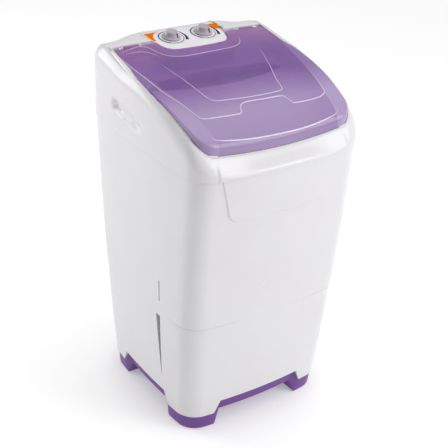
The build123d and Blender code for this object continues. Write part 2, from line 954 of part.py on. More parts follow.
def plateau_outline():
    """Plan of the lid's raised middle, with the finger notch in its front edge."""
    with BuildSketch() as plan:
        with BuildLine() as half_line:
            right = [
                (plateau_rear_half, plateau_rear_y),
                (plateau_mid_half, -4),
                (plateau_front_half, plateau_front_y + 5),
                (notch_half + 6, plateau_front_y),
                (notch_half, plateau_front_y + notch_depth),
            ]
            left = [(-x, y) for x, y in reversed(right)]
            Polyline(*right, *left, close=True)
        make_face()
        fillet(plan.vertices().filter_by(lambda v: v.Y < plateau_front_y + notch_depth + 1), 6)
    return plan.sketch


def make_lid():
    """See-through purple lid: a crowned sheet with a skirt, a raised middle and hinge knuckles."""
    with BuildPart() as sheet:
        add(prism(lid_outline(0)))
        add(under_lid(0), mode=Mode.INTERSECT)
        add(under_lid(lid_thickness), mode=Mode.SUBTRACT)
    with BuildPart() as skirt:
        add(prism(lid_outline(0)))
        add(prism(lid_outline(-lid_thickness)), mode=Mode.SUBTRACT)
        add(under_lid(lid_thickness / 2), mode=Mode.INTERSECT)
        add(under_top(lid_sink), mode=Mode.SUBTRACT)
        add(behind(skirt_rear_y), mode=Mode.SUBTRACT)
    with BuildPart() as plateau:
        add(prism(plateau_outline()))
        add(under_lid(-plateau_rise), mode=Mode.INTERSECT)
        add(under_lid(lid_thickness / 2), mode=Mode.SUBTRACT)
    with BuildPart() as lid:
        add(sheet.part)
        add(skirt.part)
        add(plateau.part)
        for side in (-1, 1):
            with BuildSketch(Plane.YZ.offset(side * hinge_x - knuckle_length / 2)):
                with Locations((hinge_y, hinge_z)):
                    Circle(knuckle_radius)
            extrude(amount=knuckle_length)
            for offset in (-1, 1):
                x = side * hinge_x + offset * ear_spacing / 2
                with Locations((x, hinge_y - knuckle_notch, hinge_z)):
                    Box(
                        ear_thickness + 2 * ear_gap, 3 * knuckle_notch, wide_margin,
                        align=(Align.CENTER, Align.MIN, Align.CENTER), mode=Mode.SUBTRACT,
                    )
        add(hinge_bore(), mode=Mode.SUBTRACT)
        add(prism(console_outline(panel_overlap + cutout_gap)), mode=Mode.SUBTRACT)
    return lid.part


def make_scrub_board():
    """Lift-out scrubbing board over the front of the mouth, with a round rear edge and low ribs."""
    side = mouth_half_width + board_lap
    with BuildSketch() as plan:
        with BuildLine():
            ThreePointArc(
                (-side, mouth_front - board_lap),
                (0, mouth_front - board_lap - mouth_front_bow),
                (side, mouth_front - board_lap),
            )
            Line((side, mouth_front - board_lap), (side, board_rear_side_y))
            ThreePointArc((side, board_rear_side_y), (0, board_rear_y), (-side, board_rear_side_y))
            Line((-side, board_rear_side_y), (-side, mouth_front - board_lap))
        make_face()
        fillet(plan.vertices().group_by(Axis.Y)[0], mouth_corner)
        fillet(plan.vertices().group_by(Axis.Y)[-1], board_corner)
    with BuildSketch() as rib_plan:
        with Locations(*[(0, rib_first_y + rib_pitch * index) for index in range(rib_count)]):
            SlotOverall(rib_length, rib_width)
    with BuildPart() as ribs:
        add(prism(rib_plan.sketch))
        add(under_top(deck_drop - board_thickness - rib_rise), mode=Mode.INTERSECT)
        add(under_top(deck_drop - board_thickness + joint_depth), mode=Mode.SUBTRACT)
    with BuildPart() as board:
        add(prism(plan.sketch))
        add(under_top(deck_drop - board_thickness), mode=Mode.INTERSECT)
        add(under_top(deck_drop - seat_gap), mode=Mode.SUBTRACT)
        add(ribs.part)
    return board.part


def make_tub_gasket():
    """Rubber ring between the tub's flange and the cover's collar."""
    with BuildPart() as tub_gasket:
        add(prism(mouth_outline(seal_reach - 1), seam_z, seam_z + gasket_height))
        add(prism(mouth_outline(seal_reach - 5), seam_z - 1, seam_z + 9), mode=Mode.SUBTRACT)
    return tub_gasket.part


def make_control_panel():
    """White panel plate on the console, with soft edges and two spindle holes."""
    with BuildPart() as control_panel:
        add(prism(console_outline(panel_overlap)))
        add(panel_slab(-panel_thickness, 0), mode=Mode.INTERSECT)
        fillet(control_panel.faces().sort_by(Axis.Z)[-1].edges(), panel_edge)
        add(
            holes(panel_plane, knob_places, spindle_hole_radius, -wide_margin, wide_margin),
            mode=Mode.SUBTRACT,
        )
        add(
            holes(panel_plane, lug_places, screw_radius + thread_gap, -wide_margin, -panel_skin),
            mode=Mode.SUBTRACT,
        )
    return control_panel.part


def knob_frame(place):
    """Plane at a knob's foot on the panel."""
    origin = panel_plane.from_local_coords((place[0], place[1], 0))
    return Plane(origin=origin, x_dir=panel_plane.x_dir, z_dir=panel_plane.z_dir)


def make_knob(place):
    """Knob with a flared skirt, a drawn-in neck, a round grip and a pointer rib."""
    frame = knob_frame(place)
    section = Plane(origin=frame.origin, x_dir=frame.x_dir, z_dir=-frame.y_dir)
    base = knob_gap
    with BuildPart() as knob:
        with BuildSketch(section):
            with BuildLine():
                Polyline(
                    (0, base),
                    (knob_skirt_radius, base),
                    (knob_skirt_radius, base + 1.5),
                    (knob_neck_radius, base + knob_skirt_height + 3),
                    (knob_grip_radius, knob_height - 2),
                    (knob_grip_radius - 2, knob_height),
                    (0, knob_height),
                    close=True,
                )
            make_face()
        revolve(axis=Axis(frame.origin, frame.z_dir))
        with BuildSketch(frame.offset(knob_height - 1)):
            with Locations((0, knob_grip_radius / 2)):
                Rectangle(2.4, knob_grip_radius - 5)
        extrude(amount=1.8)
        add(holes(frame, [(0, 0)], spindle_radius + thread_gap, 0, knob_bore_depth), mode=Mode.SUBTRACT)
    return knob.part


def make_spindle(place):
    """Steel spindle from inside the switch up into the knob."""
    with BuildPart() as spindle:
        with BuildSketch(knob_frame(place).offset(-panel_thickness - slab_thickness - spindle_sink)):
            Circle(spindle_radius)
        extrude(amount=panel_thickness + slab_thickness + spindle_sink + knob_bore_depth - 1)
    return spindle.part


def make_switch(place, square):
    """Timer or selector body under the console slab, with two fixing lugs."""
    frame = knob_frame(place).offset(-panel_thickness - slab_thickness)
    lugs = [(0, turn * lug_reach) for turn in (-1, 1)]
    with BuildPart() as body:
        with BuildSketch(frame):
            if square:
                Rectangle(selector_size, selector_size)
            else:
                Circle(timer_radius)
        extrude(amount=-(selector_depth if square else timer_depth))
        with BuildSketch(frame):
            SlotOverall(2 * lug_reach + 12, 12, rotation=90)
        extrude(amount=-lug_thickness)
        add(holes(frame, lugs, screw_radius + screw_clearance, -5, 5), mode=Mode.SUBTRACT)
        add(holes(frame, [(0, 0)], spindle_radius + running_gap, -spindle_sink - 2, 1), mode=Mode.SUBTRACT)
    return body.part


def make_impeller():
    """Grey impeller: a thin disc with a domed hub and radial vanes."""
    seat = tub_floor_z + impeller_gap
    with BuildPart() as impeller:
        with BuildSketch(Plane.XZ.offset(-impeller_y)):
            with BuildLine():
                Polyline(
                    (0, seat),
                    (impeller_radius, seat),
                    (impeller_radius, seat + impeller_plate + 3),
                    (impeller_radius - 4, seat + impeller_plate + 3),
                    (impeller_radius - 12, seat + impeller_plate),
                    (impeller_hub_radius, seat + impeller_plate),
                )
                ThreePointArc(
                    (impeller_hub_radius, seat + impeller_plate),
                    (impeller_hub_radius * 0.72, seat + impeller_hub_height * 0.72),
                    (14, seat + impeller_hub_height),
                )
                Polyline((14, seat + impeller_hub_height), (0, seat + impeller_hub_height), (0, seat))
            make_face()
        revolve(axis=Axis((0, impeller_y, 0), (0, 0, 1)))
        with BuildSketch(Plane(origin=(0, impeller_y, seat + impeller_plate - 1))):
            with PolarLocations((impeller_radius + impeller_hub_radius) / 2 - 6, vane_count):
                SlotOverall(impeller_radius - impeller_hub_radius + 4, vane_width)
        extrude(amount=vane_height, taper=6)
        add(holes(Plane(origin=(0, impeller_y, 0)), [(0, 0)], shaft_radius + thread_gap, 0,
                  seat + impeller_hub_height - 10), mode=Mode.SUBTRACT)
        add(holes(Plane(origin=(0, impeller_y, 0)), [(0, 0)], screw_big + thread_gap, 0, 400),
            mode=Mode.SUBTRACT)
    return impeller.part


def make_bearing_housing():
    """Housing bolted under the tub: it holds the two bushes and the shaft seal."""
    top = tub_floor_z - tub_floor_thickness
    with BuildPart() as housing:
        add(round_bar(housing_flange_radius, top - housing_flange_thickness, top, 0, impeller_y))
        add(round_bar(housing_radius, housing_bottom_z, top, 0, impeller_y))
        add(round_bar(nose_radius, top - 1, tub_floor_z, 0, impeller_y))
        add(holes(Plane.XY, [(0, impeller_y)], bush_radius + thread_gap, 0, 400), mode=Mode.SUBTRACT)
        add(holes(Plane.XY, [(0, impeller_y)], seal_radius + thread_gap, tub_floor_z - seal_height, 400),
            mode=Mode.SUBTRACT)
        add(holes(Plane.XY, housing_places(), screw_radius + screw_clearance, 0, 400), mode=Mode.SUBTRACT)
    return housing.part


def pulley(radius, y, bore):
    """Pulley with a groove for the belt."""
    half = belt_width / 2 + belt_gap
    root = radius - belt_thickness - 1
    with BuildPart() as wheel:
        add(round_bar(radius, belt_z - half - pulley_flange, belt_z + half + pulley_flange, 0, y, bore))
        add(round_bar(radius + 5, belt_z - half, belt_z + half, 0, y, root), mode=Mode.SUBTRACT)
    return wheel.part


def make_drive_pulley():
    """Large plastic pulley with a hub, a thin web and six lightening holes."""
    half = belt_width / 2 + belt_gap + pulley_flange
    root = drive_pulley_radius - belt_thickness - 1
    bore = shaft_radius + thread_gap
    with BuildPart() as drive_pulley:
        add(pulley(drive_pulley_radius, impeller_y, bore))
        for low, high in ((belt_z + 2.5, belt_z + half + 1), (belt_z - half - 1, belt_z - 2.5)):
            add(round_bar(root - 8, low, high, 0, impeller_y, 20), mode=Mode.SUBTRACT)
        with BuildSketch(Plane(origin=(0, impeller_y, belt_z - half))):
            with PolarLocations(50, 6):
                Circle(15)
        extrude(amount=2 * half, mode=Mode.SUBTRACT)
        add(round_bar(20, belt_z - half - 2, belt_z + half + 6, 0, impeller_y, bore))
    return drive_pulley.part


def make_belt():
    """Drive belt round both pulleys."""
    inner_large = drive_pulley_radius - belt_thickness - 1 + belt_gap
    inner_small = motor_pulley_radius - belt_thickness - 1 + belt_gap
    with BuildPart() as belt:
        for extra, mode in ((belt_thickness, Mode.ADD), (0, Mode.SUBTRACT)):
            with BuildSketch(Plane.XY.offset(belt_z - belt_width / 2)):
                with Locations((0, impeller_y)):
                    Circle(inner_large + extra)
                with Locations((0, motor_y)):
                    Circle(inner_small + extra)
                make_hull()
            extrude(amount=belt_width, mode=mode)
    return belt.part


def make_motor_bracket():
    """Steel plate across the studs, with turned-down long edges."""
    with BuildPart() as bracket:
        with BuildSketch(Plane.XY.offset(bracket_z)):
            with Locations((0, motor_y)):
                RectangleRounded(bracket_length, bracket_width, 12)
                Circle(12, mode=Mode.SUBTRACT)
        extrude(amount=bracket_thickness)
        with BuildSketch(Plane.XY.offset(bracket_z - 12)):
            for side in (-1, 1):
                with Locations((0, motor_y + side * (bracket_width - bracket_thickness) / 2)):
                    Rectangle(bracket_length - 24, bracket_thickness)
        extrude(amount=12)
        add(holes(Plane.XY, stud_places() + motor_bolt_places(), screw_radius + screw_clearance, 0, 200),
            mode=Mode.SUBTRACT)
    return bracket.part


def motor_bolt_places():
    """Plan places of the four bolts under the motor."""
    reach = motor_radius / 2 + 4
    return [(sx * reach, motor_y + sy * reach) for sx in (-1, 1) for sy in (-1, 1)]


def make_grommets():
    """Rubber rings between the studs and the motor bracket."""
    with BuildPart() as grommets:
        with BuildSketch(Plane.XY.offset(bracket_z - grommet_height)):
            with Locations(*stud_places()):
                Circle(grommet_radius)
                Circle(screw_radius + screw_clearance, mode=Mode.SUBTRACT)
        extrude(amount=grommet_height)
    return grommets.part


def make_bell(low, recess_up):
    """Cast end bell with a bearing bore, its recess turned towards the stator."""
    with BuildPart() as bell:
        add(round_bar(motor_radius - 2, low, low + bell_height, 0, motor_y))
        recess_low = low + 5 if recess_up else low - 1
        add(round_bar(motor_radius - 12, recess_low, recess_low + bell_height - 4, 0, motor_y, 14),
            mode=Mode.SUBTRACT)
        add(holes(Plane.XY, [(0, motor_y)], motor_shaft_radius + running_gap, 0, 400), mode=Mode.SUBTRACT)
        if recess_up:
            add(holes(Plane.XY, motor_bolt_places(), screw_radius + thread_gap, 0, low + 4.5),
                mode=Mode.SUBTRACT)
    return bell.part


def make_stator():
    """Motor stator ring."""
    return round_bar(motor_radius, stator_z, stator_z + stator_height, 0, motor_y, rotor_radius + air_gap)


def make_rotor():
    """Motor shaft with its core."""
    with BuildPart() as rotor:
        add(round_bar(motor_shaft_radius, bracket_z - 2, belt_z + 12, 0, motor_y))
        add(round_bar(rotor_radius, stator_z + 4, stator_z + stator_height - 4, 0, motor_y))
    return rotor.part


def make_fan():
    """Cooling fan on the motor shaft, under the pulley."""
    low = stator_z + stator_height + bell_height + 5
    bore = motor_shaft_radius + thread_gap
    with BuildPart() as fan:
        add(round_bar(12, low, low + 13, 0, motor_y, bore))
        add(round_bar(fan_radius, low, low + 2, 0, motor_y, bore))
        with BuildSketch(Plane(origin=(0, motor_y, low))):
            with PolarLocations((fan_radius + 11) / 2, fan_blades):
                Rectangle(fan_radius - 11, 2)
        extrude(amount=12)
    return fan.part


def make_motor_pulley():
    """Small metal pulley on the motor shaft."""
    return pulley(motor_pulley_radius, motor_y, motor_shaft_radius + thread_gap)


def make_shaft():
    """Steel impeller shaft, bored at the top for its screw."""
    top = tub_floor_z + impeller_gap + impeller_hub_height - 11
    with BuildPart() as shaft:
        add(round_bar(shaft_radius, shaft_bottom_z, top, 0, impeller_y))
        add(holes(Plane.XY, [(0, impeller_y)], screw_big + thread_gap, top - 16, top + 1),
            mode=Mode.SUBTRACT)
    return shaft.part


def make_pulley_nut():
    """Hexagon nut under the large pulley."""
    high = belt_z - belt_width / 2 - belt_gap - pulley_flange - 2
    with BuildPart() as nut:
        with BuildSketch(Plane.XY.offset(high - 8)):
            with Locations((0, impeller_y)):
                RegularPolygon(11, 6)
                Circle(shaft_radius + thread_gap, mode=Mode.SUBTRACT)
        extrude(amount=8)
    return nut.part


def make_drain_pipe():
    """Stiff drain pipe from the tub's nozzle down and out through the rear wall."""
    top = tub_floor_z - tub_floor_thickness - seat_gap
    exit_y = along_wall(drain_exit_z, floor_rear, seam_rear, rear_swell) + front_bow + spigot_reach
    with BuildPart() as pipe:
        with BuildLine() as path:
            FilletPolyline(
                (drain_x, drain_y, top),
                (drain_x, drain_y, drain_exit_z),
                (drain_x, exit_y, drain_exit_z),
                radius=drain_bend,
            )
        with BuildSketch(Plane.XY.offset(top)):
            with Locations((drain_x, drain_y)):
                Circle(drain_pipe_radius)
                Circle(drain_pipe_radius - drain_pipe_wall, mode=Mode.SUBTRACT)
        sweep(path=path.line)
        with BuildSketch(Plane.XZ.offset(-exit_y)):
            with Locations((drain_x, drain_exit_z)):
                Circle(drain_pipe_radius + 1)
                Circle(spigot_radius, mode=Mode.SUBTRACT)
        extrude(amount=spigot_length, mode=Mode.SUBTRACT)
    return pipe.part


def make_drain_clamp():
    """Wire-screw clamp round the pipe at the nozzle."""
    low = tub_floor_z - tub_floor_thickness - 16
    with BuildPart() as clamp:
        add(round_bar(drain_pipe_radius + 2, low, low + 9, drain_x, drain_y,
                      drain_pipe_radius + thread_gap))
        with Locations((drain_x - drain_pipe_radius - 5, drain_y, low + 4.5)):
            Box(8, 7, 9)
    return clamp.part


def make_filter_frame():
    """Lint filter frame that slides down its rails in the tub."""
    with BuildPart() as frame:
        with Locations((0, filter_y, filter_bottom_z + seat_gap)):
            Box(filter_width, filter_depth, filter_height - seat_gap,
                align=(Align.CENTER, Align.CENTER, Align.MIN))
        with Locations((0, filter_y, filter_bottom_z + 8)):
            Box(filter_width - 26, filter_depth + 2, filter_height - 24,
                align=(Align.CENTER, Align.CENTER, Align.MIN), mode=Mode.SUBTRACT)
        with Locations((0, filter_y - filter_depth / 2, filter_bottom_z + filter_height - 8)):
            Box(40, 6, 8, align=(Align.CENTER, Align.MAX, Align.MIN))
    return frame.part


def make_filter_net():
    """Flat net in the filter frame."""
    width = filter_width - 26
    height = filter_height - 24
    with BuildPart() as net:
        with BuildSketch(Plane.XZ.offset(-filter_y)):
            with Locations((0, filter_bottom_z + 8 + height / 2)):
                Rectangle(width, height)
                with GridLocations(10, 10, 8, 10):
                    Rectangle(8, 8, mode=Mode.SUBTRACT)
        extrude(amount=0.8)
    return net.part


def make_capacitor():
    """Motor capacitor standing on the pan floor in its clip."""
    floor = arch_edge_z - band_height + tray_floor
    return round_bar(19, floor, floor + 72, capacitor_x, capacitor_y)


def make_capacitor_clip():
    """Clip ring and foot that hold the capacitor."""
    floor = arch_edge_z - band_height + tray_floor
    with BuildPart() as clip:
        add(round_bar(22, floor, floor + 16, capacitor_x, capacitor_y))
        with Locations((capacitor_x, capacitor_y, floor)):
            Box(66, 16, 3, align=(Align.CENTER, Align.CENTER, Align.MIN))
        add(round_bar(19 + thread_gap, floor - 1, floor + 80, capacitor_x, capacitor_y), mode=Mode.SUBTRACT)
    return clip.part


def make_gland():
    """Round inlet bush in the rear wall, where the supply cord enters."""
    wall_y = along_wall(drain_exit_z, floor_rear, seam_rear, rear_swell) + front_bow
    with BuildPart() as gland:
        with BuildSketch(Plane.XZ.offset(-(wall_y - 20))):
            with Locations((-drain_x, drain_exit_z)):
                Circle(gland_radius - seat_gap)
                Circle(gland_bore, mode=Mode.SUBTRACT)
        extrude(amount=-28)
    return gland.part


def write(part, name):
    """Label a finished piece and write its STEP file."""
    part.label = name
    export_step(part, "parts/" + name + ".step")
    print(name, len(part.solids()), round(part.volume))


under_ledge = Plane.XY.offset(seam_z - flange_thickness - ledge_thickness)
post_under = Plane.XY.offset(tray_top_z - arch_edge_z + foot_edge_z)
tub_under = tub_floor_z - tub_floor_thickness
lug_plane = panel_plane.offset(-panel_thickness - slab_thickness - lug_thickness)
post_depth = arch_edge_z - foot_edge_z

write(make_base_tray(), "base_tray")
write(make_foot_pads(), "foot_pads")
write(make_cabinet(), "cabinet")
write(screw_set(post_under, foot_places(), post_depth + base_screw_grip), "base_screws")
write(make_tub(), "tub")
write(make_tub_gasket(), "tub_gasket")
write(make_top_cover(), "top_cover")
write(screw_set(under_ledge, boss_places(), flange_thickness + ledge_thickness + cover_screw_grip - 1),
      "cover_screws")
write(make_scrub_board(), "scrub_board")
write(make_lid(), "lid")
write(make_hinge_pins(), "hinge_pins")
write(make_control_panel(), "control_panel")
write(make_knob(knob_places[0]), "timer_knob")
write(make_knob(knob_places[1]), "selector_knob")
write(make_spindle(knob_places[0]), "timer_spindle")
write(make_spindle(knob_places[1]), "selector_spindle")
write(make_switch(knob_places[0], False), "wash_timer")
write(make_switch(knob_places[1], True), "selector_switch")
write(screw_set(lug_plane, lug_places, lug_thickness + slab_thickness + panel_thickness - 2),
      "panel_screws")
write(make_filter_frame(), "lint_filter_frame")
write(make_filter_net(), "lint_filter_net")
write(make_impeller(), "impeller")
write(make_shaft(), "impeller_shaft")
write(screw_set(Plane.XY.offset(tub_floor_z + impeller_gap + impeller_hub_height), [(0, impeller_y)],
                24, up=False, radius=screw_big), "impeller_screw")
write(make_bearing_housing(), "bearing_housing")
write(round_bar(bush_radius, housing_bottom_z, housing_bottom_z + bush_length, 0, impeller_y,
                shaft_radius + running_gap), "lower_bush")
write(round_bar(bush_radius, tub_floor_z - seal_height - bush_length, tub_floor_z - seal_height, 0,
                impeller_y, shaft_radius + running_gap), "upper_bush")
write(round_bar(seal_radius, tub_floor_z - seal_height, tub_floor_z, 0, impeller_y,
                shaft_radius + running_gap), "shaft_seal")
write(screw_set(Plane.XY.offset(tub_under - housing_flange_thickness), housing_places(),
                housing_flange_thickness + tub_floor_thickness - 1.5), "housing_screws")
write(make_drive_pulley(), "drive_pulley")
write(make_pulley_nut(), "pulley_nut")
write(make_belt(), "drive_belt")
write(make_motor_pulley(), "motor_pulley")
write(make_fan(), "motor_fan")
write(make_rotor(), "motor_rotor")
write(make_stator(), "motor_stator")
write(make_bell(bracket_z + bracket_thickness, True), "motor_lower_bell")
write(make_bell(stator_z + stator_height, False), "motor_upper_bell")
write(make_motor_bracket(), "motor_bracket")
write(make_grommets(), "motor_grommets")
write(screw_set(Plane.XY.offset(bracket_z + bracket_thickness), stud_places(), bracket_screw,
                up=False),
      "bracket_screws")
write(screw_set(Plane.XY.offset(bracket_z), motor_bolt_places(), bracket_thickness + 4), "motor_screws")
write(make_capacitor(), "capacitor")
write(make_capacitor_clip(), "capacitor_clip")
write(make_drain_pipe(), "drain_pipe")
write(make_drain_clamp(), "drain_clamp")
write(make_gland(), "cord_gland")
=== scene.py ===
import cmath
import math

import bmesh
import bpy
from mathutils import Matrix, Vector


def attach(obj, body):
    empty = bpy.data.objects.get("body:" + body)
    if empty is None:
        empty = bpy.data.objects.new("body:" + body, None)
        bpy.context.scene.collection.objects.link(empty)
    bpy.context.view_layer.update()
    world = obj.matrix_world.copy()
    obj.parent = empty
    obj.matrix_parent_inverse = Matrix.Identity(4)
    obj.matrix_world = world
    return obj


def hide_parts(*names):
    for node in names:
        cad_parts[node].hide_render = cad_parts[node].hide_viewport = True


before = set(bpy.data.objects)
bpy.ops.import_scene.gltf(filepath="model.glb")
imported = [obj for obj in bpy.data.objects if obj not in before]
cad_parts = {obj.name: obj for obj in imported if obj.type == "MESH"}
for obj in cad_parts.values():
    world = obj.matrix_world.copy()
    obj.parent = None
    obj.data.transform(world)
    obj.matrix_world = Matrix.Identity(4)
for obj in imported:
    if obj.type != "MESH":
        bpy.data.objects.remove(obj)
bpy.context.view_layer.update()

# Camera
# A long lens looks down on the machine from its front left, a little tilted, as in the photograph.
yaw, pitch, roll = math.radians(35.652), math.radians(28.674), math.radians(3.02)
forward = Vector((math.sin(yaw) * math.cos(pitch), math.cos(yaw) * math.cos(pitch), -math.sin(pitch)))
level = Vector((math.cos(yaw), -math.sin(yaw), 0))
upward = level.cross(forward)
right = level * math.cos(roll) + upward * math.sin(roll)
top = upward * math.cos(roll) - level * math.sin(roll)
camera = bpy.data.objects.new("camera", bpy.data.cameras.new("camera"))
camera.data.sensor_width = 36
camera.data.lens = 78.66
camera.data.clip_start = 0.1
camera_spot = (-1.3161, -1.8629, 1.7152)
turned = Matrix((right, top, -forward)).transposed().to_4x4()
camera.matrix_world = Matrix.Translation(camera_spot) @ turned
bpy.context.scene.collection.objects.link(camera)
bpy.context.scene.camera = camera


# White moulded plastic
# The cabinet, the cover and the tub are injection moulded in glossy white polypropylene. Their colour
# is cloudy by a percent or two, their gloss is uneven, and the skin has a very fine grain.
class Field:
    """A shader socket; plain arithmetic on it adds Math nodes."""

    def __init__(self, tree, socket):
        self.tree = tree
        self.socket = socket

    def maths(self, operation, *others):
        node = self.tree.nodes.new("ShaderNodeMath")
        node.operation = operation
        for place, item in zip(node.inputs, (self, *others)):
            join(self.tree, place, item)
        return Field(self.tree, node.outputs[0])

    def __add__(self, other):
        return self.maths("ADD", other)

    def __sub__(self, other):
        return self.maths("SUBTRACT", other)

    def __rsub__(self, other):
        return self.maths("MULTIPLY", -1) + other

    def __mul__(self, other):
        return self.maths("MULTIPLY", other)

    __radd__ = __add__
    __rmul__ = __mul__


def join(tree, place, item):
    """Links a field to a socket, or sets a plain value on it."""
    if isinstance(item, Field):
        tree.links.new(item.socket, place)
    else:
        place.default_value = item


class Finish:
    """One material: its shader, and a method that adds any other node."""

    def __init__(self, name, **constants):
        self.material = bpy.data.materials.new(name)
        self.material.use_nodes = True
        self.tree = self.material.node_tree
        self.shader = self.tree.nodes["Principled BSDF"]
        for socket, value in constants.items():
            self.shader.inputs[socket.replace("_", " ")].default_value = value

    def node(self, kind, settings=None, sockets=None, output=0):
        made = self.tree.nodes.new("ShaderNode" + kind)
        for name, value in (settings or {}).items():
            if name == "stops":
                ramp = made.color_ramp
                while len(ramp.elements) < len(value):
                    ramp.elements.new(0.5)
                for element, (place, colour) in zip(ramp.elements, value):
                    element.position = place
                    element.color = (*colour, 1)
            else:
                setattr(made, name, value)
        for name, value in (sockets or {}).items():
            join(self.tree, made.inputs[name], value)
        return Field(self.tree, made.outputs[output])

    def noise(self, scale, detail=3.0):
        place = self.node("TexCoord", output="Object")
        return self.node("TexNoise", {}, {"Vector": place, "Scale": scale, "Detail": detail})

    def tones(self, amount, *stops):
        return self.node("ValToRGB", {"stops": stops}, {"Fac": amount})

    def feed(self, **links):
        for socket, item in links.items():
            join(self.tree, self.shader.inputs[socket.replace("_", " ")], item)

    def bump(self, height, distance):
        return self.node("Bump", {}, {"Height": height, "Distance": distance, "Strength": 0.6})


def moulded(name, dark, light, roughness, grain=0.0001, grain_scale=900.0, **constants):
    """Moulded plastic: faint cloudy colour, uneven gloss, and a fine skin."""
    cloud_scale, gloss_scale, gloss_spread = 6.0, 22.0, 0.12
    finish = Finish(name, **constants)
    finish.feed(
        Base_Color=finish.tones(finish.noise(cloud_scale), (0.3, dark), (0.7, light)),
        Roughness=finish.noise(gloss_scale) * gloss_spread + (roughness - gloss_spread / 2),
        Normal=finish.bump(finish.noise(grain_scale, 2.0), grain),
    )
    return finish.material


def dress(material, *names):
    """Gives CAD nodes their material."""
    for name in names:
        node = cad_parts[name]
        node.data.materials.clear()
        node.data.materials.append(material)


white_plastic = moulded("white_plastic", (0.74, 0.725, 0.745), (0.77, 0.76, 0.775), 0.24, 0.00003)
inner_white = moulded("inner_white_plastic", (0.74, 0.74, 0.76), (0.79, 0.79, 0.81), 0.38, 0.00003)
dress(inner_white, "tub", "scrub_board", "lint_filter_frame", "lint_filter_net")

# Cabinet
# One tall white moulding from the feet up to the seam, with bowed walls that lean outwards, a raised
# bib at the front and a wedge channel for the hose on the left. Its lower edge turns in behind.
MM = 0.001
seam_z = 748 * MM
arch_z, foot_z = 83 * MM, 44.6 * MM
waist_z = 336 * MM
arch_half, arch_foot = 125 * MM, 141 * MM
side_stops = (-132 * MM, -114 * MM, -109.5 * MM)
side_far = (86 * MM, 104 * MM)
# Columns in each stretch of a half ring, and the numbers of those at the bib and the arches.
front_counts, side_counts, rear_counts = (8, 1, 4), (2, 1, 1, 1, 10, 1, 3), (3, 1, 8)
corner_count = 12
half_columns = sum(front_counts) + sum(side_counts) + sum(rear_counts) + 2 * corner_count + 1
bib_column, side_arch, rear_arch = 8, range(28, 41), 60
# Half width, front and rear of the body in mm: at its floor, at its seam, and their swell halfway.
side_profile = (214.3, 237.5, 9.0)
front_profile = (210.6, 253.9, 2.1)
rear_profile = (185.8, 253.9, -5.0)
side_bow, end_bow = 11.4 * MM, 18.3 * MM
low_fillet, high_fillet = 61 * MM, 57 * MM
wall_thickness = 3 * MM
bib_rise = 2.5 * MM


def circle_through(a, b, c):
    """Centre and radius of the circle through three spots of the plan."""
    w = (c - a) / (b - a)
    centre = a + (b - a) * (w - abs(w) ** 2) / (2j * w.imag)
    return centre, abs(a - centre)


def straight(a, b):
    """A side so slightly bowed that it is straight, as a circle."""
    return circle_through(a, (a + b) / 2 - 1j * (b - a) * 1e-5, b)


def corner_between(first, second, radius, near):
    """Fillet between two sides that are circles: its centre and the two spots where it touches."""
    (c1, r1), (c2, r2) = first, second
    s1, s2 = r1 - radius, r2 - radius
    gap = c2 - c1
    reach = abs(gap)
    forth = (s1 * s1 - s2 * s2 + reach * reach) / (2 * reach)
    up = math.sqrt(max(s1 * s1 - forth * forth, 0))
    choices = [c1 + gap / reach * (forth + 1j * up * turn) for turn in (1, -1)]
    centre = min(choices, key=lambda spot: abs(spot - near))
    return centre, c1 + (centre - c1) * r1 / s1, c2 + (centre - c2) * r2 / s2


def arc_at(centre, start, end, shares):
    """Spots at given shares of the way from start to end round a centre."""
    turn = cmath.phase((end - centre) / (start - centre))
    return [centre + (start - centre) * cmath.exp(1j * turn * share) for share in shares]


def arc_points(centre, start, end, count):
    """Spots from start towards end round a centre, without the last."""
    return arc_at(centre, start, end, [step / count for step in range(count)])


def at_depth(side, y, sign=1):
    """Spot of a side's circle at depth y, on its right or left."""
    centre, radius = side
    return centre.real + sign * math.sqrt(radius**2 - (y - centre.imag) ** 2) + 1j * y


def on_rear(side, x):
    """Spot of a rear side's circle at x."""
    centre, radius = side
    return x + 1j * (centre.imag + math.sqrt(radius**2 - (x - centre.real) ** 2))


def along_wall(z, at_floor, at_seam, swell):
    """Size of the body at height z, between its floor and its seam, with a swell halfway."""
    t = min(z, seam_z) / seam_z
    return MM * (at_floor + (at_seam - at_floor) * t + 4 * swell * t * (1 - t))


def whole(half):
    """Full ring of spots, from the right half ring and its mirror image."""
    return half + [-spot.conjugate() for spot in half[-2:0:-1]]


def mirrored(places):
    """Full ring of places, from the right half ring and its mirror image."""
    return places + [(-x, y, z) for x, y, z in places[-2:0:-1]]


def quarter(steps):
    """Angles of a quarter turn in so many steps."""
    return [step / steps * math.pi / 2 for step in range(steps + 1)]


def skin(bm, rings):
    """Band of faces through rings of places, each as long as the first; returns its two end rings."""
    first = bmesh.ops.create_circle(bm, segments=len(rings[0]), radius=1)["verts"]
    row = first
    for ring in rings:
        if ring is not rings[0]:
            edges = [bm.edges.get((row[index - 1], row[index])) for index in range(len(row))]
            grown = bmesh.ops.extrude_edge_only(bm, edges=edges)["geom"]
            fresh = {item for item in grown if isinstance(item, bmesh.types.BMVert)}
            row = [
                next(edge.other_vert(v) for edge in v.link_edges if edge.other_vert(v) in fresh)
                for v in row
            ]
        for vertex, place in zip(row, ring):
            vertex.co = place
    return first, row


def close_end(bm, row):
    """Closes an end ring with one face fan of its own."""
    edges = [bm.edges.get((row[index - 1], row[index])) for index in range(len(row))]
    bmesh.ops.triangle_fill(bm, use_beauty=True, edges=edges)


def closed_skin(bm, rings):
    """Band of faces through rings of places, closed at both ends."""
    for end in skin(bm, rings):
        close_end(bm, end)


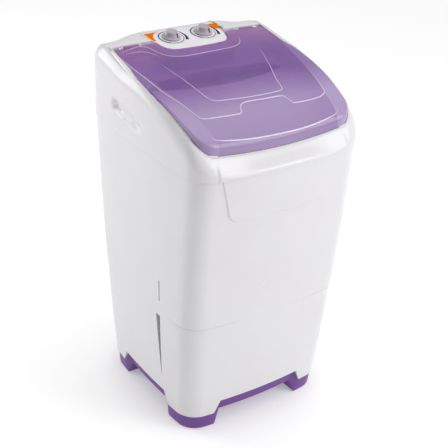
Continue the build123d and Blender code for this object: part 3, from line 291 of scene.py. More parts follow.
def piece(name, bm, material, body, *replaced, sharp=40):
    """Finishes a mesh as a piece that rides on a body and stands for the CAD nodes named."""
    bmesh.ops.remove_doubles(bm, verts=bm.verts, dist=1e-6)
    bmesh.ops.recalc_face_normals(bm, faces=bm.faces)
    mesh = bpy.data.meshes.new(name)
    bm.to_mesh(mesh)
    bm.free()
    mesh.shade_smooth()
    mesh.set_sharp_from_angle(angle=math.radians(sharp))
    made = bpy.data.objects.new(name, mesh)
    bpy.context.scene.collection.objects.link(made)
    made.data.materials.append(material)
    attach(made, body)
    if replaced:
        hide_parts(*replaced)
    return made


def lifted(spots, height):
    """Places in space over plan spots, at the height that a function gives for each."""
    return [(spot.real, spot.imag, height(spot)) for spot in spots]


def in_steps(points, stops, counts):
    """Spots of a function of one value, that runs through the stops in so many steps each."""
    for low, high, count in zip(stops, stops[1:], counts):
        points += [low + (high - low) * step / count for step in range(count)]
    return points


def slide(value, *stops):
    """Value that runs straight through the stops, (place, value) pairs in order."""
    if value <= stops[0][0]:
        return stops[0][1]
    for (x0, y0), (x1, y1) in zip(stops, stops[1:]):
        if value <= x1:
            return y0 + (y1 - y0) * (value - x0) / (x1 - x0)
    return stops[-1][1]


def body_sides(z, grow):
    """The body's front, side and rear at height z as circles, and the spots where they would meet."""
    half = along_wall(z, *side_profile) + grow
    fore = -along_wall(z, *front_profile) - grow
    aft = along_wall(z, *rear_profile) + grow
    near_front, near_rear = half + 1j * fore, half + 1j * aft
    front = circle_through(-half + 1j * fore, 1j * (fore - end_bow), near_front)
    side = circle_through(near_front, half + side_bow + 1j * ((fore + aft) / 2), near_rear)
    rear = circle_through(near_rear, 1j * (aft + end_bow), -half + 1j * aft)
    return front, side, rear, near_front, near_rear


bib_stops = (
    (420, 125), (633, 127), (635, 131), (638, 140), (644, 148), (652, 153), (671, 157), (748, 176),
)


def bib_edge(z):
    """Half width of the bib at height z; below the bib, the column keeps to the arch's corner."""
    return MM * slide(z / MM, *bib_stops)


def channel_edge(z):
    """Depth of the hose channel's front edge at height z."""
    return MM * slide(z / MM, (132, -108.5), (320, -91.5), (365, -105.5))


def cabinet_plan(z, grow=0.0):
    """Right half ring of the cabinet at height z, with columns on every edge of its features."""
    front, side, rear, near_front, near_rear = body_sides(z, grow)
    radius = (low_fillet if z < waist_z else high_fillet) + grow
    centre, t1, t2 = corner_between(front, side, radius, near_front)
    rear_centre, t3, t4 = corner_between(side, rear, radius, near_rear)
    inner = bib_edge(z)
    outer = max(inner + bib_rise, slide(z, (500 * MM, arch_foot), (630 * MM, 133 * MM), (634 * MM, 0)))
    outer = min(outer, t1.real - 1 * MM)
    xs = in_steps([], (0, inner, outer, t1.real), front_counts)
    points = [x + 1j * (front[0].imag - math.sqrt(front[1] ** 2 - x * x)) for x in xs]
    points += arc_points(centre, t1, t2, corner_count)
    stops = (t2.imag, *side_stops, channel_edge(z), *side_far, t3.imag)
    points += [at_depth(side, y) for y in in_steps([], stops, side_counts)]
    points += arc_points(rear_centre, t3, t4, corner_count)
    xs = in_steps([], (t4.real, arch_foot, arch_half, 0), rear_counts) + [0]
    return points + [x + 1j * (rear[0].imag + math.sqrt(rear[1] ** 2 - x * x)) for x in xs]


def in_arch(index):
    """Whether a column of the half ring stands over an arch rather than over a foot."""
    return index <= bib_column or index in side_arch or index >= rear_arch


def cabinet_ring(z_of, grow_of):
    """Full ring of places whose height and growth come column by column."""
    plans = {}
    places = []
    for index in range(half_columns):
        z, grow = z_of(index), grow_of(index)
        if (z, grow) not in plans:
            plans[(z, grow)] = cabinet_plan(z, grow)
        spot = plans[(z, grow)][index]
        places.append((spot.real, spot.imag, z))
    return mirrored(places)


def low_edge(index):
    """Height of the cabinet's lower edge at a column."""
    return arch_z if in_arch(index) else foot_z


groove = 0.9 * MM
# The groove fades in and out on either side of each front corner: column, share of its depth.
groove_fade = ((3, 0), (8, 1), (22, 1), (27, 0))
lip, lip_rise, soft_edge = 13 * MM, 2.5 * MM, 0.8 * MM
bib_foot = 633
# Levels in mm, and how deep the groove is at each.
cabinet_levels = [
    (100, 0), (116, 0), (132, 0), (180, 0), (226, 0), (273, 0), (320, 0), (334.6, 0),
    (335.1, groove), (335.7, groove), (336.4, 0), (350, 0), (365, 0), (395, 0), (425, 0), (470, 0),
    (520, 0), (570, 0), (610, 0), (632, 0), (634.4, 0), (637, 0), (641, 0), (647, 0), (655, 0),
    (671, 0), (697, 0), (722, 0), (745, 0), (747.4, 0),
]
bm = bmesh.new()
rings = [
    cabinet_ring(lambda index: low_edge(index) + lip_rise, lambda index: -lip),
    cabinet_ring(low_edge, lambda index: -lip),
    cabinet_ring(low_edge, lambda index: -soft_edge),
    cabinet_ring(lambda index: low_edge(index) + soft_edge, lambda index: 0.0),
]
for level, dip in cabinet_levels:
    bib = bib_rise if level > bib_foot else 0
    rings.append(
        cabinet_ring(
            lambda index: level * MM,
            lambda index: (bib if index <= bib_column else 0) - dip * slide(index, *groove_fade),
        )
    )
rings.append(cabinet_ring(lambda index: seam_z, lambda index: -0.6 * MM))
for level in (seam_z, 425 * MM, 120 * MM):
    rings.append(cabinet_ring(lambda index: level, lambda index: -wall_thickness))
rings.append(cabinet_ring(lambda index: low_edge(index) + lip_rise, lambda index: -wall_thickness))
rings.append(rings[0])
skin(bm, rings)
bmesh.ops.remove_doubles(bm, verts=bm.verts, dist=1e-6)


def in_channel(face):
    """Whether a face of the left outer wall lies within the hose channel."""
    spot = face.calc_center_median()
    wide = side_stops[2] < spot.y < channel_edge(spot.z)
    outer = spot.x < -along_wall(spot.z, *side_profile) - 2 * MM
    return wide and outer and any(low < spot.z / MM < high for low, high in channel_spans)


# The channel shows as a long wedge and, above it, a short slot: heights in mm.
channel_spans = ((132, 320), (365, 425))
channel_floor_x = -226 * MM
sunk = bmesh.ops.extrude_face_region(bm, geom=[face for face in bm.faces if in_channel(face)])["geom"]
for item in sunk:
    if isinstance(item, bmesh.types.BMVert):
        item.co.x = channel_floor_x
bmesh.ops.delete(bm, geom=[face for face in bm.faces if in_channel(face)], context="FACES_ONLY")
piece("cabinet_shell", bm, white_plastic, "machine", "cabinet", sharp=32)

# Base
# A purple moulded tray closes the cabinet from below. It sits back behind the cabinet's lower edge
# and stands on four corner feet with rubber pads; studs on its floor carry the motor's bracket.
purple_plastic = moulded(
    "purple_plastic", (0.145, 0.045, 0.265), (0.165, 0.055, 0.295), 0.42, 0.0003, 500.0
)
rubber = moulded("black_rubber", (0.02, 0.02, 0.022), (0.03, 0.03, 0.032), 0.7, 0.0004, 400.0)
dress(rubber, "foot_pads", "tub_gasket", "motor_grommets", "drive_belt", "cord_gland", "shaft_seal")
band_z = 44 * MM
stand_z = 1.5 * MM
tray_z = 96 * MM
arch_inset, foot_inset = 13.4 * MM, 4 * MM
pan_thickness = 4 * MM
base_middle_y = -14 * MM
# Where the columns at the arches' edges stand at the foot, and the inner corners of the feet.
foot_inner = {9: 133 * MM, 8: 117 * MM, 59: 133 * MM, 60: 117 * MM}
foot_side = {27: -123 * MM, 28: -105 * MM, 40: 77 * MM, 41: 95 * MM}
foot_corner_x, foot_corner_front, foot_corner_rear = 129 * MM, -119 * MM, 91 * MM


def base_grow(index):
    """Set-back of the base's skin: deep in the arches, nearly flush at the feet."""
    return -arch_inset if in_arch(index) else -foot_inset


def base_low(index):
    """Height of the base's lower edge at a column."""
    return band_z if in_arch(index) else stand_z


def base_ring(share, draw=0.0):
    """Full ring of the base's skin, from the tray's top edge at 0 down to its lower edge at 1."""
    places = []
    for index in range(half_columns):
        z = tray_z + (base_low(index) - tray_z) * share
        spot = cabinet_plan(z, base_grow(index) - draw)[index]
        x = spot.real + (foot_inner.get(index, spot.real) - spot.real) * share
        y = spot.imag + (foot_side.get(index, spot.imag) - spot.imag) * share
        places.append((x, y, z))
    return mirrored(places)


def to_foot_corners(places, height):
    """Ring whose foot columns all run to the inner corner of their foot, at a height of its own."""
    half = []
    for index in range(half_columns):
        x, y, z = places[index]
        if not in_arch(index):
            x, z = foot_corner_x, height
            y = foot_corner_front if index < half_columns // 2 else foot_corner_rear
        half.append((x, y, z))
    return mirrored(half)


def drawn_in(places, share, height):
    """Ring drawn towards the middle of the base at one height."""
    return [(x * share, base_middle_y + (y - base_middle_y) * share, height) for x, y, z in places]


bm = bmesh.new()
lower = base_ring(1.0, soft_edge)
floor_ring = to_foot_corners(lower, band_z)
rings = [
    drawn_in(floor_ring, 0.3, band_z),
    drawn_in(floor_ring, 0.8, band_z),
    floor_ring,
    to_foot_corners(lower, stand_z),
    lower,
]
rings += [base_ring(share) for share in (0.98, 0.8, 0.6, 0.4, 0.2, 0.0)]
inner_top = base_ring(0.0, wall_thickness)
pan_z = band_z + pan_thickness
rings += [inner_top, [(x, y, pan_z) for x, y, z in inner_top]]
rings.append(drawn_in(inner_top, 0.3, pan_z))
closed_skin(bm, rings)
stud_x, stud_y, stud_apart, stud_z = 130, 78, 49, 70
stud_foot, stud_top, stud_height = 9.6 * MM, 8.6 * MM, 45 * MM
for x in (-stud_x, stud_x):
    for y in (stud_y - stud_apart, stud_y + stud_apart):
        stud = Matrix.Translation((x * MM, y * MM, stud_z * MM))
        bmesh.ops.create_cone(
            bm, cap_ends=True, segments=24, radius1=stud_foot, radius2=stud_top, depth=stud_height,
            matrix=stud,
        )
piece("base_shell", bm, purple_plastic, "machine", "base_tray", sharp=32)

# Top cover
# The white cover is one moulding: a wall over the seam, a soft shoulder, the rim round the lid, a
# recess down to the deck with the mouth of the tub, and the console at the rear.
side_count, rear_count = 24, 12
# Shares of the front edge's half: the last two take the edge of the bib.
front_shares = (0, 0.12, 0.24, 0.36, 0.48, 0.6, 0.7, 0.8, 0.88, 0.94, 0.968, 0.984)
bib_columns = 10
corner_half = 294.5 * MM
# Each station: depth y, height of the top at its sides, its crown, and the lid's rise over it.
top_stations = [
    (-300, 716, -22, 22),
    (-262, 777, -18, 21),
    (-240, 805, -13, 20),
    (-212, 829, -8, 17),
    (-170, 850, -3, 12),
    (-107, 875, 1.5, 7),
    (-12, 898.5, 5, 3),
    (83, 915, 6, 1),
    (140, 926, 6, 0.2),
    (175, 932, 6, 0),
    (200, 932.5, 6, 0),
    (222, 927.5, 5.5, 0),
    (240, 917.5, 5, 0),
    (257, 898.5, 4, 0),
    (275, 868, 3, 0),
    (300, 815, 2, 0),
]


def along(y, column):
    """Smooth value of one column of the stations at depth y, in metres."""
    points = [(station[0], station[column]) for station in top_stations]
    y = min(max(y / MM, points[0][0]), points[-1][0])
    place = max(index for index in range(len(points) - 1) if points[index][0] <= y)
    slopes = []
    for index in (place, place + 1):
        before = points[max(index - 1, 0)]
        after = points[min(index + 1, len(points) - 1)]
        slopes.append((after[1] - before[1]) / (after[0] - before[0]))
    (y0, v0), (y1, v1) = points[place], points[place + 1]
    run = y1 - y0
    t = (y - y0) / run
    return MM * (
        v0 * (1 + 2 * t) * (1 - t) ** 2
        + v1 * t * t * (3 - 2 * t)
        + run * t * (1 - t) * (slopes[0] * (1 - t) - slopes[1] * t)
    )


def top_z(spot):
    """Height of the cover's top surface over a spot of the plan, x + iy."""
    return along(spot.imag, 1) + along(spot.imag, 2) * (1 - (spot.real / corner_half) ** 2)


middle_y = -12.4 * MM


def half_ring(front, side, rear, front_radius, rear_radius, near_front, near_rear):
    """Right half of a plan from its front middle to its rear, in the four stretches the rings share."""
    first = corner_between(front, side, front_radius, near_front)
    last = corner_between(side, rear, rear_radius, near_rear)
    front_middle = 1j * (front[0].imag - math.sqrt(front[1] ** 2 - front[0].real ** 2))
    waist = at_depth(side, middle_y)
    points = arc_at(front[0], front_middle, first[1], front_shares)
    points += arc_points(first[0], first[1], first[2], corner_count)
    points += arc_points(side[0], first[2], waist, side_count)
    points += arc_points(side[0], waist, last[1], side_count)
    points += arc_points(last[0], last[1], last[2], corner_count)
    return points, last[2]


def body_plan(z, grow):
    """Right half ring of the body at height z, grown by grow."""
    front, side, rear, near_front, near_rear = body_sides(z, grow)
    fillet = high_fillet + grow
    points, last = half_ring(front, side, rear, fillet, fillet, near_front, near_rear)
    stops = (last.real, 118 * MM, 80 * MM, 40 * MM, 0)
    return points + [on_rear(rear, x) for x in in_steps([], stops, [rear_count] * 4) + [0.0]]


def between(a, b, count):
    """Spots from a towards b in a straight line, without the last."""
    return [a + (b - a) * step / count for step in range(count)]


def console_sides(grow, fore_mm=76, shoulder_mm=96):
    """The console's corner spots and its round front corner, on the right."""
    fore = fore_mm * MM - grow
    aft = 216 * MM + grow
    shoulder = shoulder_mm * MM + grow + 1j * (fore + 7 * MM)
    rear = 114 * MM + grow + 1j * aft
    front = circle_through(-shoulder.conjugate(), 1j * fore, shoulder)
    side = straight(shoulder, rear)
    return front, side, rear, corner_between(front, side, 34 * MM + grow, shoulder), 1j * fore


def lid_plan(grow, rear_grow, console_grow, above_console=False, notch=(76, 96)):
    """Right half ring of the lid's plan round the console, or past the panel's rear when above it."""
    fore, aft = -234 * MM - grow, 168.6 * MM + rear_grow
    front_spot, rear_spot = 216 * MM + grow + 1j * fore, 225.5 * MM + grow + 1j * aft
    front = circle_through(-front_spot.conjugate(), 1j * (fore - 6 * MM), front_spot)
    side = circle_through(front_spot, 237.5 * MM + grow + 1j * middle_y, rear_spot)
    rear = straight(rear_spot, -rear_spot.conjugate())
    points, last = half_ring(
        front, side, rear, 42 * MM + grow, 14 * MM + grow, front_spot, rear_spot
    )
    c_front, c_side, c_rear, (centre, on_front, on_side), c_middle = console_sides(console_grow, *notch)
    junction = c_rear + (on_side - c_rear) * (c_rear.imag - aft) / (c_rear.imag - on_side.imag)
    points += between(last, junction, rear_count)
    if above_console:
        points += between(junction, c_rear, rear_count)
        half_way = c_rear.real / 2 + 1j * c_rear.imag
        points += between(c_rear, half_way, rear_count)
        points += between(half_way, 1j * c_rear.imag, rear_count)
        return points + [1j * c_rear.imag]
    points += between(junction, on_side, rear_count)
    points += arc_points(centre, on_side, on_front, rear_count)
    points += arc_points(c_front[0], on_front, c_middle, rear_count)
    return points + [c_middle]


def mouth_plan():
    """Right half ring of the tub's mouth in the deck."""
    half, fore, aft = 196 * MM, -212 * MM, 62 * MM
    front = circle_through(-half + 1j * fore, 1j * (fore - 10 * MM), half + 1j * fore)
    side = circle_through(half + 1j * fore, half + 8 * MM + 1j * (fore + aft) / 2, half + 1j * aft)
    rear = straight(half + 1j * aft, -half + 1j * aft)
    radius = 58 * MM
    points, last = half_ring(front, side, rear, radius, radius, half + 1j * fore, half + 1j * aft)
    return points + between(last, 1j * aft, 4 * rear_count) + [1j * aft]


def mixed(ring_a, ring_b, share):
    """Ring of spots partway from one ring to another."""
    return [a + (b - a) * share for a, b in zip(ring_a, ring_b)]


panel_angle = math.radians(8.5)
panel_slope = math.tan(panel_angle)
panel_mid_y, panel_mid_z = 150 * MM, 930.5 * MM
seat_depth, step_depth, trough_depth = 6.4 * MM, 3.8 * MM, 12 * MM
trough_y = 152 * MM
well_depth, deck_depth, mouth_depth = 38 * MM, 41 * MM, 44 * MM
mouth_low_z = 736 * MM


def panel_z(spot, drop=0.0):
    """Height of the control panel's top plane over a spot, less a drop."""
    return panel_mid_z + (spot.imag - panel_mid_y) * panel_slope - drop


lid_gap, hinge_room, panel_gap = 1.5 * MM, 4.0 * MM, 1.3 * MM
cover_lap = 2.5 * MM
half_rim = lid_plan(lid_gap, hinge_room, panel_gap, above_console=True)
over_seam = whole(body_plan(seam_z, cover_lap))
rim = whole(half_rim)
recess = whole(lid_plan(lid_gap, hinge_room, 0.0))
well = whole(lid_plan(-4 * MM, hinge_room, 0.0))
mouth = whole(mouth_plan())
count = len(over_seam)
outward = []
for index, spot in enumerate(over_seam):
    way = over_seam[(index + 1) % count] - over_seam[index - 1]
    outward.append(-1j * way / abs(way))
widths = [abs(a - b) for a, b in zip(over_seam, rim)]
rolls = [
    min((20 + 14 * max(-way.imag, 0) ** 2) * MM, 0.88 * width) for way, width in zip(outward, widths)
]
drops = [(9 + 34 * way.real**2) * MM for way in outward]


def inset(distances):
    """Ring of the cover's outer wall, drawn in column by column."""
    return [spot - way * move for spot, way, move in zip(over_seam, outward, distances)]


def on_panel(index):
    """Whether a column of the rim ends at the control panel."""
    place = index if index <= count // 2 else count - index
    return place >= len(half_rim) - 1 - 3 * rear_count


def step_z(spot):
    """Height of the step under the lid's edge, with the deeper trough at the hinges."""
    return top_z(spot) - (trough_depth if spot.imag > trough_y else step_depth)


def on_step(spots):
    """Ring on the step, or on the panel's seat where a column ends at the panel."""
    return [
        (spot.real, spot.imag, panel_z(spot, seat_depth) if on_panel(index) else step_z(spot))
        for index, spot in enumerate(spots)
    ]


def eased(value):
    """Value between 0 and 1 with soft ends."""
    value = min(max(value, 0), 1)
    return value * value * (3 - 2 * value)


def crest_z(spot):
    """Height of the cover's top, which rises softly to the level of the control panel's edge."""
    across = eased(slide(abs(spot.real), (114 * MM, 1), (200 * MM, 0)))
    deep = eased(slide(spot.imag, (166 * MM, 0), (196 * MM, 1), (222 * MM, 1), (264 * MM, 0)))
    return top_z(spot) + max(panel_z(spot, 0.8 * MM) - top_z(spot), 0) * across * deep


grip_y, grip_half_length, grip_half_height = 50, 59, 7
grip_round, grip_sunk = 11, 9 * MM


def grip_depth(y, z):
    """Depth of the hand grip pressed into each side wall: a long rounded pocket that leans a little."""
    middle = 797 + (y / MM + 20) * 22 / 140
    u = abs(y / MM - grip_y) - grip_half_length
    v = abs(z / MM - middle) - grip_half_height
    outside = math.hypot(max(u, 0), max(v, 0)) + min(max(u, v), 0) - grip_round
    return grip_sunk * eased(-outside / grip_round)


bib_top_z, bib_fade = 796 * MM, 44 * MM
grip_side_x = 200 * MM


def pressed(places):
    """Outer skin of the cover with the bib pushed out at its front and the grips pushed in."""
    result = []
    for index, (x, y, z) in enumerate(places):
        push = 0
        if min(index, count - index) <= bib_columns:
            push = bib_rise * eased((bib_top_z - z) / bib_fade)
        elif abs(x) > grip_side_x:
            push = -grip_depth(y, z)
        result.append((x + outward[index].real * push, y + outward[index].imag * push, z))
    return result


def shoulder(drop, angle):
    """How far the shoulder lies under the top surface, partway round from its foot at 0."""
    if drop > 0:
        return drop * (1 - math.sin(angle))
    return drop * (math.cos(angle) ** 2 + 0.55 * math.sin(2 * angle) * math.cos(angle))


bm = bmesh.new()
rings = []
edge_soft = 1.2 * MM
for angle in quarter(3):
    pull = [edge_soft * (1 - math.sin(angle))] * count
    rings.append(lifted(inset(pull), lambda spot: seam_z + edge_soft * (1 - math.cos(angle))))
wall_foot = seam_z + edge_soft
wall_tops = [max(crest_z(spot) - drop, seam_z + 3 * MM) for spot, drop in zip(over_seam, drops)]
wall_steps, roll_steps = 22, 12
for step in range(1, wall_steps):
    rings.append([
        (spot.real, spot.imag, wall_foot + (wall_top - wall_foot) * step / wall_steps)
        for spot, wall_top in zip(over_seam, wall_tops)
    ])
for angle in quarter(roll_steps):
    ring = inset([roll * (1 - math.cos(angle)) for roll in rolls])
    rings.append([
        (spot.real, spot.imag, crest_z(spot) - shoulder(crest_z(edge) - low, angle))
        for spot, edge, low in zip(ring, over_seam, wall_tops)
    ])
rings = [pressed(ring) for ring in rings]
rim_outer = inset(rolls)
rim_steps = 7
for step in range(1, rim_steps):
    rings.append(lifted(mixed(rim_outer, rim, step / rim_steps), crest_z))
edge_round = 1.5 * MM
ways_in = [(a - b) / max(abs(a - b), 1e-6) for a, b in zip(rim_outer, rim)]
for angle in quarter(3):
    ring = [spot + way * edge_round * (1 - math.sin(angle)) for spot, way in zip(rim, ways_in)]
    rings.append([
        (spot.real, spot.imag, crest_z(spot) - edge_round * (1 - math.cos(angle))) for spot in ring
    ])
rings += [on_step(rim), on_step(recess), lifted(well, step_z)]
rings.append(lifted(well, lambda spot: step_z(spot) - 2 * MM))
rings.append(lifted(well, lambda spot: top_z(spot) - well_depth))
for step in range(5):
    share = 0.06 + 0.9 * step / 4
    rings.append(lifted(mixed(well, mouth, share), lambda spot: top_z(spot) - deck_depth))
rings.append(lifted(mouth, lambda spot: top_z(spot) - mouth_depth))
rings.append(lifted(mouth, lambda spot: mouth_low_z))
skin(bm, rings)
cover = piece("cover_shell", bm, white_plastic, "machine", "top_cover")
wall = cover.modifiers.new("wall", "SOLIDIFY")
wall.thickness = wall_thickness
wall.offset = -1

# Lid
# The lid is one see-through purple moulding: a crowned sheet that stands proud of the rim at the
# front, where it turns down into a lip. It swings on two knuckles at its rear edge.
def lid_z(spot, drop=0.0):
    """Height of the lid's top surface over a spot, less a drop."""
    return top_z(spot) + along(spot.imag, 3) - drop


lid_thickness = 3 * MM
lid_core_y = -60 * MM
# The lid's notch is narrower than the console's foot, and its rear edge keeps clear of the ears.
lid_notch, notch_gap = (112, 91), 2.2 * MM
lid_rear = -9.6 * MM
lid_edge = whole(lid_plan(0, lid_rear, notch_gap, notch=lid_notch))
lid_inner = whole(
    lid_plan(-lid_thickness, lid_rear - lid_thickness, notch_gap + lid_thickness, notch=lid_notch)
)
lid_out = []
for index, spot in enumerate(lid_edge):
    way = lid_edge[(index + 1) % count] - lid_edge[index - 1]
    lid_out.append(-1j * way / abs(way))
lid_rolls = [(2 + 6 * max(-way.imag, 0) ** 2) * MM for way in lid_out]
lid_core = [
    0.6 * spot.real + 1j * (lid_core_y + math.copysign(1 * MM, spot.imag - lid_core_y))
    for spot in lid_edge
]
lid_steps = 22
shares = [(step / lid_steps) ** 1.25 for step in range(1, lid_steps + 1)]


def under_lid(spot):
    """Height of the lid's underside over a spot."""
    return lid_z(spot, lid_thickness)


def skirt_z(spot):
    """Height of the lid's lower edge: sunk below the rim at the front and sides, plain at the rear."""
    return min(under_lid(spot), top_z(spot) - 3.5 * MM)


def lid_inset(share):
    """Ring of the lid's edge, drawn in by a share of its rounding."""
    return [spot - way * roll * share for spot, way, roll in zip(lid_edge, lid_out, lid_rolls)]


bm = bmesh.new()
rings = [lifted(mixed(lid_inner, lid_core, share), under_lid) for share in reversed(shares)]
rings += [lifted(lid_inner, under_lid), lifted(lid_inner, skirt_z), lifted(lid_edge, skirt_z)]
for angle in quarter(6):
    low = 1 - math.sin(angle)
    rings.append([
        (spot.real, spot.imag, max(lid_z(spot) - roll * low, skirt_z(spot) + 0.3 * MM))
        for spot, roll in zip(lid_inset(1 - math.cos(angle)), lid_rolls)
    ])
lid_top = lid_inset(1)
rings += [lifted(mixed(lid_top, lid_core, share), lid_z) for share in shares]
closed_skin(bm, rings)
lid_look = Finish("lid_plastic", Roughness=0.08, Coat_Weight=0.15)
spot_on_lid = lid_look.node("TexCoord", output="Object")
split = {}
for axis_index, axis_name in enumerate("xyz"):
    split[axis_name] = lid_look.node("SeparateXYZ", {}, {0: spot_on_lid}, output=axis_index)
cloud = lid_look.noise(5.0)
# The zones of the sheet: its side bands, and how far a spot lies to the front, the rear or the right.
# Light is painted into the sheet's colour there: a pale sheen at the front, weaker to the right, and on
# the side bands, and a pinkish reflection at the rear.
off_edge = split["x"].maths("ABSOLUTE") - split["y"] * 0.1667 - 0.2095
side_band = lid_look.node("Clamp", {}, {0: off_edge * 400.0})
to_front = lid_look.node("Clamp", {}, {0: split["y"] * -9.0 - 0.55 + cloud * 0.3})
to_rear = lid_look.node("Clamp", {}, {0: split["y"] * 9.0 - 0.6 + cloud * 0.3})
to_right = lid_look.node("Clamp", {}, {0: split["x"] * 6.0 - 0.25})
# Painted sheen: the sheet turns paler towards the front, less so to the right, and along its side bands.
painted_sheen = lid_look.node("Clamp", {}, {0: to_front - to_front * to_right * 0.55 + side_band * 0.35})
deep = lid_look.tones(cloud, (0.3, (0.32, 0.17, 0.52)), (0.7, (0.36, 0.19, 0.55)))
# Painted reflection: the sheet's deep purple turns pinkish towards the rear.
tint_with_painted_reflection = lid_look.node(
    "Mix", {"data_type": "RGBA"}, {0: to_rear * 0.85, 6: deep, 7: (0.56, 0.27, 0.55, 1)}, output=2
)
# The lid's colour with the painted sheen laid over the painted reflection.
pale = lid_look.node(
    "Mix", {"data_type": "RGBA"}, {0: painted_sheen * 0.8, 6: tint_with_painted_reflection, 7: (0.64, 0.53, 0.75, 1)}, output=2
)
lid_look.feed(Base_Color=pale)
clear = lid_look.node("BsdfTransparent", {}, {"Color": (0.80, 0.68, 0.87, 1)})
edge_on = lid_look.node("LayerWeight", {}, {"Blend": 0.35}, output=1)
# Where sheen and reflection are painted, the sheet is also less see-through.
see_less = edge_on * 0.45 + 0.12 + to_front * 0.31 + side_band * 0.08
see_less = see_less + to_rear * 0.10 + to_right * 0.10
blend = lid_look.node("MixShader", {}, {0: see_less, 1: clear})
lid_look.tree.links.new(lid_look.shader.outputs[0], blend.socket.node.inputs[2])
lid_look.tree.links.new(blend.socket, lid_look.tree.nodes["Material Output"].inputs["Surface"])
piece("lid_sheet", bm, lid_look.material, "lid", "lid")

# Lid ridges
# The lid's raised middle, its ridge round the console and the bead over its lip are moulded in one with
# it; their crests are coloured a pale lilac, a painted highlight for the thin pale lines where they catch
# the light.
ridge_highlight_look = moulded(
    "lid_ridge", (0.62, 0.50, 0.70), (0.70, 0.58, 0.77), 0.16, 0.00002, Coat_Weight=0.6
)
# Each line: half its width, then its course over the lid, in mm.
ridge_lines = (
    (1.5, (-227, 146), (-224, 87), (-212, -49), (-196, -105), (-181, -152), (-168, -165), (-120, -169),
     (-75, -171), (-66, -164), (-60, -152), (-50, -145), (-30, -142), (15, -144), (60, -146),
     (70, -152), (78, -168), (86, -174), (146, -175), (176, -168), (188, -150), (200, -80)),
    (1.1, (-150, 65), (-138, -15), (-126, -90), (-120, -110), (-108, -121), (-75, -125),
     (-36, -129), (20, -131), (70, -130), (82, -122), (90, -86), (113, -26), (142, 62)),
    (1.0, (-218, 137), (-186, 148), (-156, 153), (-138, 143), (-128, 118), (-112, 92),
     (-88, 79), (-60, 74), (0, 75), (60, 77), (92, 84), (112, 100), (122, 124)),
    (0.8, (-216, 129), (-180, 131), (-158, 126), (-142, 111), (-131, 95)),
    (1.2, (-182, -214), (-168, -224), (-100, -231), (-16, -234), (80, -234), (168, -226), (184, -214)),
)


def smooth_line(spots, steps):
    """Spots of a smooth curve through the given spots."""
    ends = [2 * spots[0] - spots[1], *spots, 2 * spots[-1] - spots[-2]]
    curve = []
    for a, b, c, d in zip(ends, ends[1:], ends[2:], ends[3:]):
        for step in range(steps):
            t = step / steps
            curve.append(b + (c - a) * t / 2 + (2 * a - 5 * b + 4 * c - d) * t**2 / 2
                         + (3 * b - a - 3 * c + d) * t**3 / 2)
    return curve + [spots[-1]]


bm = bmesh.new()
for half_width, *spots in ridge_lines:
    line = smooth_line([MM * complex(*spot) for spot in spots], 6)
    rings = []
    for index, spot in enumerate(line):
        way = line[min(index + 1, len(line) - 1)] - line[max(index - 1, 0)]
        across = 1j * way / abs(way)
        size = MM * half_width * min(1, 0.15 + min(index, len(line) - 1 - index) / 10)
        ring = []
        for turn in range(10):
            angle = turn * math.pi / 5
            side_spot = spot + across * size * math.cos(angle)
            rise = 0.6 * size * math.sin(angle)
            ring.append((side_spot.real, side_spot.imag, lid_z(side_spot) + rise))
        rings.append(ring)
    closed_skin(bm, rings)
piece("lid_ridges", bm, ridge_highlight_look, "lid")

# Hinge
# Two barrels moulded on the lid's rear edge turn on steel pins between ears of the cover.
hinge_y, hinge_z = 164.1 * MM, 930.13 * MM
hinge_x, ear_apart = 172, 25
barrel_radius, barrel_length, ear_width = 4.4 * MM, 43.6, 5


def soften(bm, edges, offset, segments):
    """Rounds edges off by an offset in mm."""
    bmesh.ops.bevel(
        bm, geom=list(edges), offset=offset * MM, affect="EDGES", segments=segments, profile=0.5,
        material=-1,
    )


def barrel(bm, x, length):
    """A round barrel on the hinge line with softened ends."""
    place = Matrix.Translation((x, hinge_y, hinge_z)) @ Matrix.Rotation(math.pi / 2, 4, "Y")
    made = bmesh.ops.create_cone(
        bm, cap_ends=True, segments=32, radius1=barrel_radius, radius2=barrel_radius, depth=length,
        matrix=place,
    )
    edges = {edge for vertex in made["verts"] for edge in vertex.link_edges}
    ends = [edge for edge in edges if any(len(face.verts) > 4 for face in edge.link_faces)]
    soften(bm, ends, 0.6, 3)


def soft_block(bm, x, y, z, size):
    """A block of a size in mm, with softened edges."""
    scale = Matrix.Diagonal([side * MM for side in size] + [1])
    block = bmesh.ops.create_cube(bm, matrix=Matrix.Translation((x * MM, y * MM, z)) @ scale)
    edges = {edge for vertex in block["verts"] for edge in vertex.link_edges}
    soften(bm, edges, 0.5, 2)


bm = bmesh.new()
for x in (-hinge_x, hinge_x):
    barrel(bm, x * MM, barrel_length * MM)
    soft_block(bm, x, 160.6, hinge_z + 2.8 * MM, (barrel_length, 7, 2.8))
piece("hinge_barrels", bm, lid_look.material, "lid")
bm = bmesh.new()
for x in (-hinge_x - ear_apart, -hinge_x + ear_apart, hinge_x - ear_apart, hinge_x + ear_apart):
    barrel(bm, x * MM, ear_width * MM)
    soft_block(bm, x, 168, hinge_z - 3.5 * MM, (ear_width, 8, 8))
piece("hinge_ears", bm, white_plastic, "machine")

# Control panel
# A thick white glossy plate over the console with softly rounded edges. Two knob places are printed
# on it in navy and grey, and its rear corners carry orange wedges.
panel_plastic = moulded(
    "panel_plastic", (0.82, 0.80, 0.82), (0.86, 0.845, 0.86), 0.2, 0.00002, Coat_Weight=0.3
)
panel_thick, panel_round, panel_lap = 6 * MM, 2.5 * MM, 1 * MM


def plate_plan(grow):
    """Right half ring of the panel's outline."""
    front, side, rear, (centre, on_front, on_side), middle = console_sides(grow, 113, 91)
    end = rear.real + 1j * rear.imag
    points = arc_points(front[0], middle, on_front, 12)
    points += arc_points(centre, on_front, on_side, 16)
    points += between(on_side, end, 12)
    points += between(end, 1j * end.imag, 12)
    return points + [1j * end.imag]


